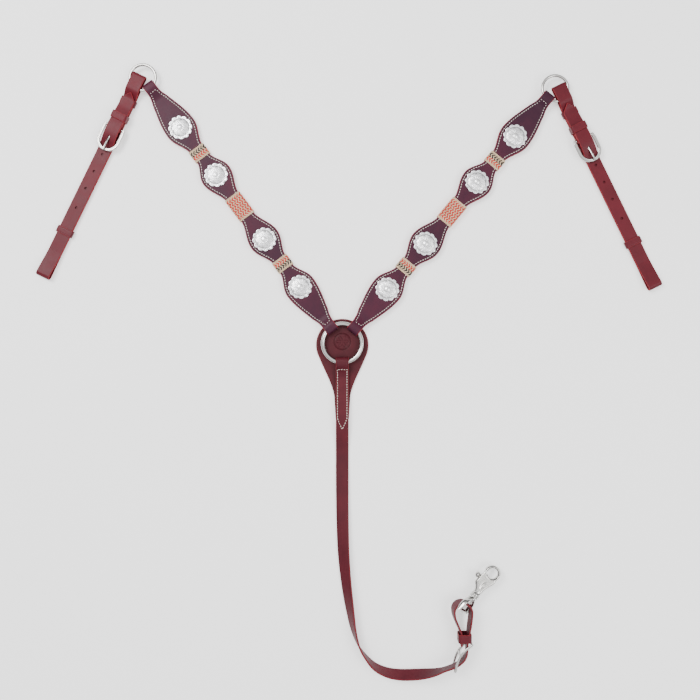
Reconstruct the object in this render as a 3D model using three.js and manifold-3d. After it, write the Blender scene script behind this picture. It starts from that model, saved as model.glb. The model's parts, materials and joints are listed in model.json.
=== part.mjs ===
// A western breast collar for a horse, laid out flat on its back.
// Millimetres. Seen from the front: +X to the right, +Y towards the neck, +Z up from the table.
// The centre ring joins two scalloped shoulders and a tie-down strap. Each shoulder ends in a
// ring that carries a buckled tug, and the tie-down ends in a swivel snap.
import * as THREE from 'three';
import { mergeVertices } from 'three/addons/utils/BufferGeometryUtils.js';
import Module from 'manifold-3d';

const wasm = await Module();
wasm.setup();

// Driving dimensions
const GAP = 0.3; // between pieces that touch
const RING_R = 28.6; // centre ring, middle of the wire
const RING_WIRE_R = 3.175;
const RING_Z = 9.4;
const UPPER_R = 19; // shoulder rings
const UPPER_WIRE_R = 2.25;
const UPPER_Z = 9.45;
const SHOULDER_LENGTH = 491; // ring centre to ring centre
const LEFT_LEAN = 36.9; // degrees away from +Y
const RIGHT_LEAN = 39.9;
const PLY = 2.4; // shoulder leather
const LINING_Z = 3.3;
const TOP_Z = LINING_Z + PLY + GAP;
const NECK_HALF = 11.5;
const SCALLOP_HALF = 23.5;
const SCALLOPS = [
  { at: 104, below: 66, above: 33 },
  { at: 192, below: 35, above: 41 },
  { at: 311, below: 38, above: 31 },
  { at: 399, below: 37, above: 64 },
];
const WRAPS = [
  { at: 147, length: 19 },
  { at: 253, length: 39 },
  { at: 352, length: 19 },
];
const WRAP_T = 1.6;
const LOWER_LOOP_HALF = 9.5;
const UPPER_LOOP_HALF = 9;
const CONCHO_R = 17.8;
const CONCHO_T = 3;
const SCREW_R = 2.2;
const SHIELD_R = 39;
const SHIELD_T = 3;
const SHIELD_TIP_Y = -128;
const TIE_W = 19;
const TIE_T = 2.6;
const TUG_LEAN = 26; // degrees away from -Y
const TUG_W = 21;
const TUG_T = 2;
const TUG_OFFSET = 5.4; // the tug hangs on the outer half of its ring
const HEEL_U = 84; // buckle heel bar, from the ring centre along the tug
const HEEL_Z = 8.2;
const HEEL_R = 2;
const BIGHT_U = 325;
const BIGHT_Z = 5.5;
const BIGHT_R = 4.5;
const HOLES_U = [128, 156, 184, 216];
const HOLE_R = 2.25;
const TIE_END_Z = 16.2; // middle height of the strap where it stands on edge
const SNAP_TURN = 49.6; // degrees from +X to the snap's axis
const SNAP_PITCH = 5; // the nose dips to the table
const BAR_X = 177.3;
const BAR_Y = -392.3;
const BAR_LEAN = 35; // degrees from upright, seen along the snap

const LEATHER = new THREE.Color(0.26, 0.05, 0.075);
const FACE_LEATHER = new THREE.Color(0.2, 0.045, 0.085);
const NICKEL = new THREE.Color(0.8, 0.8, 0.78);
const SILVER = new THREE.Color(0.88, 0.89, 0.9);
const RAWHIDE = new THREE.Color(0.7, 0.5, 0.34);

const rad = THREE.MathUtils.degToRad;
const product = new THREE.Group();

function material(color, metalness, roughness) {
  return new THREE.MeshStandardMaterial({ color, metalness, roughness });
}

function addPiece(parent, name, geometry, kind) {
  const finishes = {
    leather: () => material(LEATHER, 0, 0.55),
    face: () => material(FACE_LEATHER, 0, 0.5),
    nickel: () => material(NICKEL, 1, 0.2),
    silver: () => material(SILVER, 1, 0.25),
    rawhide: () => material(RAWHIDE, 0, 0.7),
  };
  const mesh = new THREE.Mesh(geometry, finishes[kind]());
  mesh.name = name;
  parent.add(mesh);
  return mesh;
}

// Solids for joining and cutting
function solid(geometry) {
  const bare = geometry.clone();
  bare.deleteAttribute('normal');
  bare.deleteAttribute('uv');
  const merged = mergeVertices(bare, 1e-4);
  const vertProperties = new Float32Array(merged.attributes.position.array);
  const triVerts = new Uint32Array(merged.index.array);
  return new wasm.Manifold(new wasm.Mesh({ numProp: 3, vertProperties, triVerts }));
}

function geometryOf(manifold) {
  const data = manifold.getMesh();
  const geometry = new THREE.BufferGeometry();
  geometry.setAttribute('position', new THREE.BufferAttribute(new Float32Array(data.vertProperties), 3));
  geometry.setIndex(new THREE.BufferAttribute(new Uint32Array(data.triVerts), 1));
  geometry.computeVertexNormals();
  return geometry;
}

function joined(...geometries) {
  return geometries.map(solid).reduce((sum, next) => sum.add(next));
}

function box(x, y, z, cx, cy, cz) {
  return new THREE.BoxGeometry(x, y, z).translate(cx, cy, cz);
}

// Outlines. A side profile lies in the length-height plane and is pushed out across the width.
function arcPoints(cx, cy, r, from, to, steps) {
  const points = [];
  for (let i = 0; i <= steps; i += 1) {
    const a = rad(from + ((to - from) * i) / steps);
    points.push(new THREE.Vector3(cx + r * Math.cos(a), cy + r * Math.sin(a), 0));
  }
  return points;
}

function smooth(pairs, steps) {
  const points = pairs.map(([x, y]) => new THREE.Vector3(x, y, 0));
  return new THREE.CatmullRomCurve3(points, false, 'centripetal').getPoints(steps);
}

function ribbonShape(centre, thickness) {
  const left = [];
  const right = [];
  centre.forEach((p, i) => {
    const before = centre[Math.max(i - 1, 0)];
    const after = centre[Math.min(i + 1, centre.length - 1)];
    const t = after.clone().sub(before).normalize();
    const half = thickness / 2;
    left.push(new THREE.Vector2(p.x - t.y * half, p.y + t.x * half));
    right.unshift(new THREE.Vector2(p.x + t.y * half, p.y - t.x * half));
  });
  return new THREE.Shape([...left, ...right]);
}

function extrudeUp(shape, height, z, bevel = 0) {
  const options = {
    depth: height - 2 * bevel,
    bevelEnabled: bevel > 0,
    bevelThickness: bevel,
    bevelSize: bevel,
    bevelOffset: -bevel,
    bevelSegments: 1,
    curveSegments: 8,
  };
  return new THREE.ExtrudeGeometry(shape, options).translate(0, 0, z + bevel);
}

function extrudeAcross(shape, width) {
  const geometry = new THREE.ExtrudeGeometry(shape, { depth: width, bevelEnabled: false });
  return geometry.rotateX(Math.PI / 2).translate(0, width / 2, 0);
}

function dropRepeats(points) {
  return points.filter((p, i) => i === 0 || p.distanceTo(points[i - 1]) > 0.05);
}

// Centre ring and the teardrop shield behind it
function centreRing() {
  const ring = new THREE.TorusGeometry(RING_R, RING_WIRE_R, 8, 40).translate(0, 0, RING_Z);
  addPiece(product, 'centre_ring', ring, 'nickel');
}

function chestShield() {
  const waist = 12;
  const shape = new THREE.Shape();
  const start = rad(-28);
  shape.absarc(0, -2.7, SHIELD_R, start, Math.PI - start, false);
  shape.bezierCurveTo(-26, -42, -15, -60, -waist, -78);
  shape.lineTo(-TIE_W / 2 - 0.5, -112);
  shape.lineTo(0, SHIELD_TIP_Y);
  shape.lineTo(TIE_W / 2 + 0.5, -112);
  shape.lineTo(waist, -78);
  shape.bezierCurveTo(15, -60, 26, -42, SHIELD_R * Math.cos(start), -2.7 + SHIELD_R * Math.sin(start));
  addPiece(product, 'chest_shield', extrudeUp(shape, SHIELD_T, 0), 'leather');
}

// Shoulders: face and lining of scalloped leather. The face folds round a ring at each end.
function scallopHalfWidth(u) {
  return SCALLOPS.reduce((half, s) => {
    const reach = u < s.at ? s.below : s.above;
    const d = Math.min(Math.abs(u - s.at) / reach, 1);
    return Math.max(half, NECK_HALF + (SCALLOP_HALF - NECK_HALF) * Math.cos((d * Math.PI) / 2) ** 1.6);
  }, NECK_HALF);
}

function scallopShape(from, to) {
  const steps = Math.round((to - from) / 8);
  const side = [];
  for (let i = 0; i <= steps; i += 1) {
    const u = from + ((to - from) * i) / steps;
    side.push(new THREE.Vector2(u, scallopHalfWidth(u)));
  }
  const back = side.map((p) => new THREE.Vector2(p.x, -p.y)).reverse();
  return new THREE.Shape([...side, ...back]);
}

function shoulderLoop(wireU, ringR, inner, halfWidth, direction) {
  const sag = ringR - Math.sqrt(ringR ** 2 - halfWidth ** 2);
  const bendU = wireU - direction * sag;
  const r = inner + PLY / 2;
  const low = LINING_Z + PLY / 2;
  const high = TOP_Z + PLY / 2;
  const bendZ = low + r;
  const at = (distance) => wireU + direction * distance;
  const start = direction > 0 ? [270, 90] : [-90, 90];
  const centre = dropRepeats([
    ...smooth([[at(23), low], [at(10), low], [bendU, low]], 3),
    ...arcPoints(bendU, bendZ, r, start[0], start[1], 8),
    ...smooth([
      [bendU, bendZ + r], [at(4), bendZ + r - 0.2], [at(14), high + 1.6], [at(20), high], [at(26), high],
    ], 7),
  ]);
  return extrudeAcross(ribbonShape(centre, PLY), 2 * halfWidth);
}

function shoulder(side, lean) {
  const group = new THREE.Group();
  group.rotation.z = rad(90 + lean);
  product.add(group);
  const upperWireU = SHOULDER_LENGTH - UPPER_R;
  const faceFrom = RING_R + 17;
  const faceTo = upperWireU - 17;
  const liningFrom = RING_R + 24;
  const liningTo = upperWireU - 24;
  const lower = shoulderLoop(RING_R, RING_R, RING_WIRE_R + 0.45, LOWER_LOOP_HALF, 1);
  const upper = shoulderLoop(upperWireU, UPPER_R, UPPER_WIRE_R + 1.5, UPPER_LOOP_HALF, -1);
  let face = joined(extrudeUp(scallopShape(faceFrom, faceTo), PLY, TOP_Z), lower, upper);
  let lining = solid(extrudeUp(scallopShape(liningFrom, liningTo), PLY, LINING_Z));
  SCALLOPS.forEach((s) => {
    const hole = new THREE.CylinderGeometry(SCREW_R + GAP, SCREW_R + GAP, 20, 12).rotateX(Math.PI / 2);
    const cutter = solid(hole.translate(s.at, 0, 6));
    face = face.subtract(cutter);
    lining = lining.subtract(cutter);
  });
  addPiece(group, `${side}_shoulder_face`, geometryOf(face), 'face');
  addPiece(group, `${side}_shoulder_lining`, geometryOf(lining), 'leather');
  SCALLOPS.forEach((s, i) => concho(group, `${side}_concho_${i + 1}`, s.at));
  SCALLOPS.forEach((s, i) => conchoScrew(group, `${side}_concho_screw_${i + 1}`, s.at));
  WRAPS.forEach((w, i) => rawhideWrap(group, `${side}_rawhide_wrap_${i + 1}`, w));
  upperRing(group, side);
  return group;
}

function concho(group, name, u) {
  const lobes = 12;
  const steps = lobes * 2;
  const outline = [];
  for (let i = 0; i < steps; i += 1) {
    const a = (i / steps) * 2 * Math.PI;
    const r = CONCHO_R - 1.1 + 1.1 * Math.cos(lobes * a);
    outline.push(new THREE.Vector2(u + r * Math.cos(a), r * Math.sin(a)));
  }
  const z = TOP_Z + PLY + GAP;
  addPiece(group, name, extrudeUp(new THREE.Shape(outline), CONCHO_T, z), 'silver');
}

function conchoScrew(group, name, u) {
  const headBottom = LINING_Z - GAP - 1.3;
  const headTop = LINING_Z - GAP;
  const postTop = TOP_Z + PLY;
  const profile = [
    [0, headBottom], [5.5, headBottom], [5.5, headTop], [SCREW_R, headTop], [SCREW_R, postTop], [0, postTop],
  ];
  const points = profile.map(([r, z]) => new THREE.Vector2(r, z));
  const screw = new THREE.LatheGeometry(points, 12).rotateX(Math.PI / 2).translate(u, 0, 0);
  addPiece(group, name, screw, 'nickel');
}

function roundedRect(w, h, r) {
  const s = new THREE.Shape();
  s.absarc(w / 2 - r, h / 2 - r, r, 0, Math.PI / 2);
  s.absarc(-w / 2 + r, h / 2 - r, r, Math.PI / 2, Math.PI);
  s.absarc(-w / 2 + r, -h / 2 + r, r, Math.PI, 1.5 * Math.PI);
  s.absarc(w / 2 - r, -h / 2 + r, r, 1.5 * Math.PI, 2 * Math.PI);
  return s;
}

// A sleeve round a strap: length along the strap, clear inside by the given sizes.
function sleeve(innerW, lowZ, highZ, wall, length, u) {
  const height = highZ - lowZ;
  const shape = roundedRect(innerW + 2 * wall, height + 2 * wall, wall + 0.3);
  shape.holes.push(roundedRect(innerW, height, 0.3));
  const options = { depth: length, bevelEnabled: false, curveSegments: 2 };
  const geometry = new THREE.ExtrudeGeometry(shape, options).translate(0, 0, -length / 2);
  geometry.rotateX(Math.PI / 2).rotateZ(Math.PI / 2);
  return geometry.translate(u, 0, (lowZ + highZ) / 2);
}

function rawhideWrap(group, name, wrap) {
  const lowZ = LINING_Z - GAP;
  const highZ = TOP_Z + PLY + GAP;
  const inner = 2 * (NECK_HALF + GAP + 0.1);
  addPiece(group, name, sleeve(inner, lowZ, highZ, WRAP_T, wrap.length, wrap.at), 'rawhide');
}

function upperRing(group, side) {
  const ring = new THREE.TorusGeometry(UPPER_R, UPPER_WIRE_R, 8, 28);
  addPiece(group, `${side}_upper_ring`, ring.translate(SHOULDER_LENGTH, 0, UPPER_Z), 'nickel');
}

// Tugs: one strap runs from the buckle's heel bar up over the ring, down behind, round the bight,
// up in front through the buckle, and its free end lies under a keeper.
function tugCentreline() {
  const wrapR = UPPER_WIRE_R + 0.35 + TUG_T / 2;
  const wrapU = 1.8;
  const back = 2.6;
  const front = back + TUG_T + GAP;
  const barR = HEEL_R + GAP + TUG_T / 2;
  const overRing = UPPER_Z + wrapR;
  const underRing = UPPER_Z - wrapR;
  return dropRepeats([
    ...smooth([[62, front], [72, front], [HEEL_U, HEEL_Z - barR]], 4),
    ...arcPoints(HEEL_U, HEEL_Z, barR, -90, 90, 10),
    ...smooth([[HEEL_U, HEEL_Z + barR], [72, 9.4], [61, 7.7], [51, 5.3], [46, front], [35, front]], 10),
    ...smooth([[35, front], [31, 7.4], [24, 12.2], [18, overRing], [wrapU, overRing]], 9),
    ...arcPoints(wrapU, UPPER_Z, wrapR, 90, 270, 10),
    ...smooth([[wrapU, underRing], [16, underRing], [25, 4.1], [36, back]], 8),
    ...smooth([[36, back], [288, back]], 1),
    ...smooth([[288, back], [300, 1.9], [312, 1.3], [BIGHT_U, BIGHT_Z - BIGHT_R]], 6),
    ...arcPoints(BIGHT_U, BIGHT_Z, BIGHT_R, -90, 90, 12),
    ...smooth([[BIGHT_U, BIGHT_Z + BIGHT_R], [312, 8.2], [300, 6.1], [288, front]], 6),
    ...smooth([[288, front], [136, front]], 1),
    ...smooth([[136, front], [119, 5.4], [105, 8.1], [93, 12], [HEEL_U, 13.9], [74, 13.2], [62, 11.3]], 14),
    ...smooth([[62, 11.3], [52, 9.4], [46, 9], [36.5, 9], [32, 10.5], [28, 12.8]], 7),
  ]);
}

function tugStrap(group, side) {
  let strap = solid(extrudeAcross(ribbonShape(tugCentreline(), TUG_T), TUG_W));
  strap = strap.subtract(solid(box(11.5, 4.4, 8.9, 84.25, 0, 8.2)));
  strap = strap.subtract(solid(box(21.5, 4.4, 10, 98.25, 0, 10.5)));
  HOLES_U.forEach((u) => {
    const hole = new THREE.CylinderGeometry(HOLE_R, HOLE_R, 4, 12).rotateX(Math.PI / 2);
    strap = strap.subtract(solid(hole.translate(u, 0, 5.75)));
  });
  addPiece(group, `${side}_tug_strap`, geometryOf(strap), 'leather');
}

function buckleFrame(group, side) {
  const outer = 17.5;
  const inner = 12.5;
  const heel = HEEL_U - 2.4;
  const turn = 104.5;
  const shape = new THREE.Shape();
  shape.moveTo(heel, -outer);
  shape.absarc(turn, 0, outer, -Math.PI / 2, Math.PI / 2, false);
  shape.lineTo(heel, outer);
  shape.lineTo(heel, inner);
  shape.absarc(turn, 0, inner, Math.PI / 2, -Math.PI / 2, true);
  shape.lineTo(heel, -inner);
  const horseshoe = extrudeUp(shape, 4, 7.6, 1.1);
  const bar = new THREE.CylinderGeometry(HEEL_R, HEEL_R, 30, 10).translate(HEEL_U, 0, HEEL_Z);
  addPiece(group, `${side}_buckle_frame`, geometryOf(joined(horseshoe, bar)), 'nickel');
}

function buckleTongue(group, side) {
  const width = 3.4;
  const shape = new THREE.Shape();
  shape.absarc(HEEL_U, HEEL_Z, 3.8, rad(70), rad(360), false);
  shape.lineTo(121.6, 12.9);
  shape.lineTo(121.2, 14.9);
  shape.lineTo(119, 15.2);
  const eye = new THREE.Path();
  eye.absarc(HEEL_U, HEEL_Z, HEEL_R + GAP, 0, 2 * Math.PI, true);
  shape.holes.push(eye);
  const options = { depth: width, bevelEnabled: false, curveSegments: 8 };
  const tongue = new THREE.ExtrudeGeometry(shape, options);
  tongue.rotateX(Math.PI / 2).translate(0, width / 2, 0);
  addPiece(group, `${side}_buckle_tongue`, tongue, 'nickel');
}

function tug(side, lean, shoulderLean, offset) {
  const a = rad(90 + shoulderLean);
  const group = new THREE.Group();
  group.position.set(SHOULDER_LENGTH * Math.cos(a), SHOULDER_LENGTH * Math.sin(a), 0);
  group.rotation.z = rad(-90 - lean);
  product.add(group);
  const body = new THREE.Group();
  body.position.y = offset;
  group.add(body);
  tugStrap(body, side);
  buckleFrame(body, side);
  buckleTongue(body, side);
  const clear = TUG_W + 0.8;
  addPiece(body, `${side}_chape_keeper`, sleeve(clear, 1.3, 6.2, 1.3, 10, 41), 'leather');
  addPiece(body, `${side}_buckle_keeper`, sleeve(clear, 1.3, 14.7, 1.3, 10.5, 67), 'leather');
  addPiece(body, `${side}_sliding_keeper`, sleeve(clear + 1, 1.3, 6.2, 1.3, 10.5, 255), 'leather');
}

// Tie-down strap: folded round the ring, flat down the chest, then it rolls onto its edge.
function tieFold() {
  const low = SHIELD_T + GAP + TIE_T / 2;
  const high = low + TIE_T + GAP;
  const inner = 4.1;
  const r = inner + TIE_T / 2;
  const sag = RING_R - Math.sqrt(RING_R ** 2 - (TIE_W / 2) ** 2);
  const bendY = -RING_R + sag;
  const centre = dropRepeats([
    ...smooth([[-118, low], [-60, low], [bendY, low]], 3),
    ...arcPoints(bendY, low + r, r, -90, 90, 10),
    ...smooth([
      [bendY, low + 2 * r], [-33, low + 2 * r - 0.6], [-42, high + 2.2], [-50, high], [-60, high],
    ], 10),
  ]);
  const across = extrudeAcross(ribbonShape(centre, TIE_T), TIE_W);
  return across.rotateZ(Math.PI / 2);
}

const TIE_ROUTE = [
  { x: 0, y: -52, roll: 0 },
  { x: 0, y: -120, roll: 0 },
  { x: 0, y: -160, roll: 3 },
  { x: 0, y: -210, roll: 8 },
  { x: 0.5, y: -260, roll: 16 },
  { x: 2, y: -310, roll: 26 },
  { x: 6, y: -355, roll: 38 },
  { x: 11, y: -391, roll: 50 },
  { x: 17.5, y: -427, roll: 68 },
  { x: 25, y: -449, roll: 82 },
  { x: 34, y: -463, roll: 92 },
  { x: 48, y: -478, roll: 106 },
  { x: 66, y: -487, roll: 118 },
  { x: 84, y: -490.5, roll: 126 },
  { x: 102, y: -490.5, roll: 128 },
  { x: 120, y: -488, roll: 120 },
  { x: 136, y: -484.5, roll: 104 },
  { x: 147, y: -481.2, roll: 92 },
  { x: 156, y: -478.2, roll: 90 },
];

// A box bent along the route, rolled about it, and laid so that its lower edge meets the table.
function tieRun() {
  const steps = 64;
  const high = SHIELD_T + GAP + TIE_T + GAP + TIE_T / 2;
  const heightAt = (s) => {
    const r = rad(s.roll);
    const lying = (TIE_W / 2) * Math.sin(r) + (TIE_T / 2) * Math.abs(Math.cos(r));
    if (s.y > -140 && s.x < 1) return high;
    const rise = THREE.MathUtils.smoothstep(s.x, 90, 146) * (TIE_END_Z - TIE_W / 2);
    return lying + rise + 0.05;
  };
  const places = TIE_ROUTE.map((s) => new THREE.Vector3(s.x, s.y, heightAt(s)));
  const rolls = TIE_ROUTE.map((s) => new THREE.Vector3(s.x, s.y, s.roll));
  const route = new THREE.CatmullRomCurve3(places, false, 'centripetal');
  const turn = new THREE.CatmullRomCurve3(rolls, false, 'centripetal');
  const geometry = new THREE.BoxGeometry(1, TIE_W, TIE_T, steps, 1, 1);
  const position = geometry.attributes.position;
  for (let i = 0; i < position.count; i += 1) {
    const t = position.getX(i) + 0.5;
    const tangent = route.getTangent(t);
    const side = new THREE.Vector3(-tangent.y, tangent.x, 0).normalize();
    const angle = rad(turn.getPoint(t).z);
    const width = side.clone().multiplyScalar(Math.cos(angle));
    width.addScaledVector(new THREE.Vector3(0, 0, 1), Math.sin(angle));
    width.addScaledVector(tangent, -width.dot(tangent)).normalize();
    const normal = tangent.clone().cross(width);
    const p = route.getPoint(t);
    p.addScaledVector(width, position.getY(i)).addScaledVector(normal, position.getZ(i));
    position.setXYZ(i, p.x, p.y, p.z);
  }
  return geometry;
}

// On edge the strap weaves through the conway buckle and turns back round the snap's bar.
function tieEnd() {
  const centre = dropRepeats([
    ...smooth([[147, -481.2], [156, -478.2], [162, -476], [171, -471.5], [179.5, -463.5], [182.8, -455],
      [183.2, -445], [184.5, -434], [186.6, -418], [188.6, -404], [189.4, -395]], 30),
    ...arcPoints(176.4, -393.6, 13, 0, 180, 14),
    ...smooth([[163.4, -393.6], [164.4, -401], [169, -413], [174, -425], [175, -434], [175, -444]], 12),
  ]);
  return extrudeUp(ribbonShape(centre, TIE_T), TIE_W, TIE_END_Z - TIE_W / 2);
}

function tieDownStrap() {
  addPiece(product, 'tie_down_strap', geometryOf(joined(tieFold(), tieRun(), tieEnd())), 'leather');
}

function tieDownKeeper() {
  const keeper = sleeve(15, 0, TIE_W + 0.8, 1.6, 11, 0);
  const mesh = addPiece(product, 'tie_down_keeper', keeper.rotateZ(Math.PI / 2), 'leather');
  mesh.position.set(179.8, -433, TIE_END_Z - (TIE_W + 0.8) / 2);
}

function conwayBuckle() {
  const low = new THREE.Vector2(165.2, -479.5);
  const high = new THREE.Vector2(189.6, -440.5);
  const bulge = 5.5;
  const along = high.clone().sub(low);
  const out = new THREE.Vector2(-along.y, along.x).normalize();
  const centre = [];
  const steps = 14;
  for (let i = 0; i <= steps; i += 1) {
    const t = i / steps;
    const p = low.clone().addScaledVector(along, t).addScaledVector(out, bulge * Math.sin(Math.PI * t));
    centre.push(new THREE.Vector3(p.x, p.y, 0));
  }
  const rail = ribbonShape(centre, 3);
  const top = TIE_END_Z + TIE_W / 2 + GAP + 0.2;
  const bottom = 0.2;
  const posts = [0, steps / 2, steps].map((i) => {
    const post = new THREE.CylinderGeometry(1.6, 1.6, top - bottom + 1, 10).rotateX(Math.PI / 2);
    return post.translate(centre[i].x, centre[i].y, (top + bottom + 3) / 2);
  });
  const frame = joined(extrudeUp(rail, 3, bottom), extrudeUp(rail, 3, top), ...posts);
  addPiece(product, 'conway_buckle', geometryOf(frame), 'nickel');
}

// The snap is built along +X from the middle of its eye bar, then turned into place.
const BAR_R = 2.2;
const EYE_HALF = 14.4; // bar middle to the inside of a leg
const BOLT_Y = 9.4;
const BOLT_R = 1.9;
const HOOK_X = 69;

function swivelEye(group) {
  const lean = new THREE.Group();
  lean.rotation.x = rad(-BAR_LEAN);
  group.add(lean);
  const bar = new THREE.CylinderGeometry(BAR_R, BAR_R, 2 * EYE_HALF + 3, 10).rotateX(Math.PI / 2);
  const leg = [
    [-BAR_R, EYE_HALF], [-BAR_R, EYE_HALF + 2.6], [13, EYE_HALF + 2.6], [19.6, 9.4], [23, 6.5], [23, 2.4],
    [20.8, 2.4], [20.8, 4.6], [18, 7.6], [13.4, EYE_HALF],
  ];
  const shapeOf = (sign) => new THREE.Shape(leg.map(([x, z]) => new THREE.Vector2(x, sign * z)));
  const legs = [1, -1].map((sign) => extrudeAcross(shapeOf(sign), 6));
  const seat = new THREE.CylinderGeometry(6.2, 6.2, 3.2, 16).rotateZ(Math.PI / 2).translate(22.2, 0, 0);
  const bore = new THREE.CylinderGeometry(2.4, 2.4, 8, 12).rotateZ(Math.PI / 2).translate(22.2, 0, 0);
  const eye = joined(bar, ...legs, seat).subtract(solid(bore));
  addPiece(lean, 'snap_swivel_eye', geometryOf(eye), 'nickel');
}

function snapOutline() {
  const shape = new THREE.Shape();
  shape.moveTo(32, -5);
  shape.lineTo(40, -6);
  shape.bezierCurveTo(50, -7, 54, -11.8, 62, -11.6);
  shape.absarc(HOOK_X, 0, 12, rad(-118), rad(118), false);
  shape.lineTo(57.5, 12.8);
  shape.lineTo(47, 12.8);
  shape.bezierCurveTo(42, 12.8, 40, 6, 32, 5);
  const hole = new THREE.Path();
  hole.absarc(HOOK_X, 0, 8, 0, 2 * Math.PI, true);
  shape.holes.push(hole);
  return shape;
}

function snapBody(group) {
  const half = 4.6;
  let body = solid(extrudeUp(snapOutline(), 2 * half, -half, 1.6));
  const turned = [
    [0, 24.1], [6.5, 24.1], [6.9, 25.5], [6, 27], [6.9, 28.5], [6.5, 30], [5, 33], [4.6, 37], [0, 37],
  ].map(([r, x]) => new THREE.Vector2(r, x));
  const collar = new THREE.LatheGeometry(turned, 16).rotateZ(-Math.PI / 2);
  const rivet = new THREE.CylinderGeometry(2.1, 2.1, 6, 12).rotateZ(Math.PI / 2).translate(22, 0, 0);
  const head = new THREE.CylinderGeometry(3.6, 3.6, 1.6, 12).rotateZ(Math.PI / 2).translate(19.4, 0, 0);
  body = body.add(solid(collar)).add(solid(rivet)).add(solid(head));
  const bore = new THREE.CylinderGeometry(BOLT_R + GAP, BOLT_R + GAP, 27, 12).rotateZ(Math.PI / 2);
  body = body.subtract(solid(bore.translate(54.5, BOLT_Y, 0)));
  body = body.subtract(solid(box(9.5, 9, 12, 62.2, 10.6, 0)));
  body = body.subtract(solid(box(14.5, 6, 4.4, 49.3, BOLT_Y + 3.3, 0)));
  addPiece(group, 'snap_body', geometryOf(body), 'nickel');
}

function snapBolt(group) {
  const rod = new THREE.CylinderGeometry(BOLT_R, BOLT_R, 16.4, 12)
    .rotateZ(Math.PI / 2)
    .translate(59.2, BOLT_Y, 0);
  const stem = new THREE.CylinderGeometry(1.6, 1.6, 6, 10).translate(54, BOLT_Y + 3, 0);
  const profile = [[0, -2.6], [3.4, -2.4], [4.5, -0.6], [4.3, 1.2], [2.6, 2.8], [0, 3.2]];
  const knob = new THREE.LatheGeometry(profile.map(([r, y]) => new THREE.Vector2(r, y)), 16);
  addPiece(group, 'snap_bolt', geometryOf(joined(rod, stem, knob.translate(54, BOLT_Y + 7, 0))), 'nickel');
}

// The spring behind the bolt, as the tube that its wire winds on.
function snapSpring(group) {
  const length = 8.9;
  const profile = [[1, 0], [1.7, 0], [1.7, length], [1, length], [1, 0]];
  const coil = new THREE.LatheGeometry(profile.map(([r, y]) => new THREE.Vector2(r, y)), 12);
  addPiece(group, 'snap_spring', coil.rotateZ(-Math.PI / 2).translate(41.5, BOLT_Y, 0), 'nickel');
}

function snap() {
  const group = new THREE.Group();
  group.rotation.order = 'ZYX';
  group.rotation.set(0, rad(SNAP_PITCH), rad(SNAP_TURN));
  group.position.set(BAR_X, BAR_Y, TIE_END_Z + 0.6);
  product.add(group);
  swivelEye(group);
  snapBody(group);
  snapBolt(group);
  snapSpring(group);
}

centreRing();
chestShield();
shoulder('left', LEFT_LEAN);
shoulder('right', -RIGHT_LEAN);
tug('left', TUG_LEAN, LEFT_LEAN, -TUG_OFFSET);
tug('right', -TUG_LEAN, -RIGHT_LEAN, TUG_OFFSET);
tieDownStrap();
tieDownKeeper();
conwayBuckle();
snap();

// The origin is the middle of the footprint, on the table.
const bounds = new THREE.Box3().setFromObject(product, true);
const middle = bounds.getCenter(new THREE.Vector3());
product.position.set(-middle.x, -middle.y, -bounds.min.z);
product.updateMatrixWorld(true);

export default product;
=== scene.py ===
# %% [markdown]
# # A western breast collar, laid out flat
# The collar's frame comes from its CAD model: every ring, strap and buckle already has its place
# and its joint. Here each part gets its finished surface: oiled leather with red cut edges, white
# stitching, engraved conchos, braided rawhide and polished nickel.

# %% Load the frame
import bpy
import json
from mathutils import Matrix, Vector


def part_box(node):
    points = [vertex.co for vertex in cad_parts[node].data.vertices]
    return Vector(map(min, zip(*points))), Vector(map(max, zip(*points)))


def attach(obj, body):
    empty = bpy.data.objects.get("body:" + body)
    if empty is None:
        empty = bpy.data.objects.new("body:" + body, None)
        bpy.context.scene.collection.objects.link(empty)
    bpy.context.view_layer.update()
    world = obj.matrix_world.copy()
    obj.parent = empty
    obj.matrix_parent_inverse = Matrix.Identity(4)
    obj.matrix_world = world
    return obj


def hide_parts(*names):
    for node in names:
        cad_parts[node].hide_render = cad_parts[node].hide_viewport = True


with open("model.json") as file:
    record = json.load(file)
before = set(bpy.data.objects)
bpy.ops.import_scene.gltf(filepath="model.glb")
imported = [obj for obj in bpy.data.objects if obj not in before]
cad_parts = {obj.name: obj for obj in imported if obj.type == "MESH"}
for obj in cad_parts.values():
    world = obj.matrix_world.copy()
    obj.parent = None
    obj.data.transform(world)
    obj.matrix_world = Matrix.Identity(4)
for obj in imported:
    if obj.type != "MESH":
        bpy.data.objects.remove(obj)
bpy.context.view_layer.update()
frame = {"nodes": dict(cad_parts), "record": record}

import json
import math

import bmesh
import bpy
import numpy as np
from mathutils import Vector

MM = 0.001
joints = {j["name"]: j for j in frame["record"]["behaviour"]["joints"]}

# %% [markdown]
# ## Where things lie
# Each strap is easiest to describe in its own directions: along it, across it, and up from the
# table. A `Lay` holds those directions, taken from the joints, and turns them into the frame's.

# %% A strap's own directions
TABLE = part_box("chest_shield")[0][2]


class Lay:
    """A strap's own directions, from an origin on the table."""

    def __init__(self, origin, along):
        self.origin = np.array([origin[0], origin[1], TABLE])
        flat = np.array([along[0], along[1], 0.0])
        self.along = flat / np.linalg.norm(flat)
        self.across = np.array([-self.along[1], self.along[0], 0.0])
        self.up = np.array([0.0, 0.0, 1.0])

    def at(self, u, v, z):
        """The point u along, v across and z up, in millimetres."""
        return self.origin + (self.along * u + self.across * v + self.up * z) * MM

    def route(self, pairs, v=0.0):
        """Points of a path given as (along, height)."""
        return np.array([self.at(u, v, z) for u, z in pairs])


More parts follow.
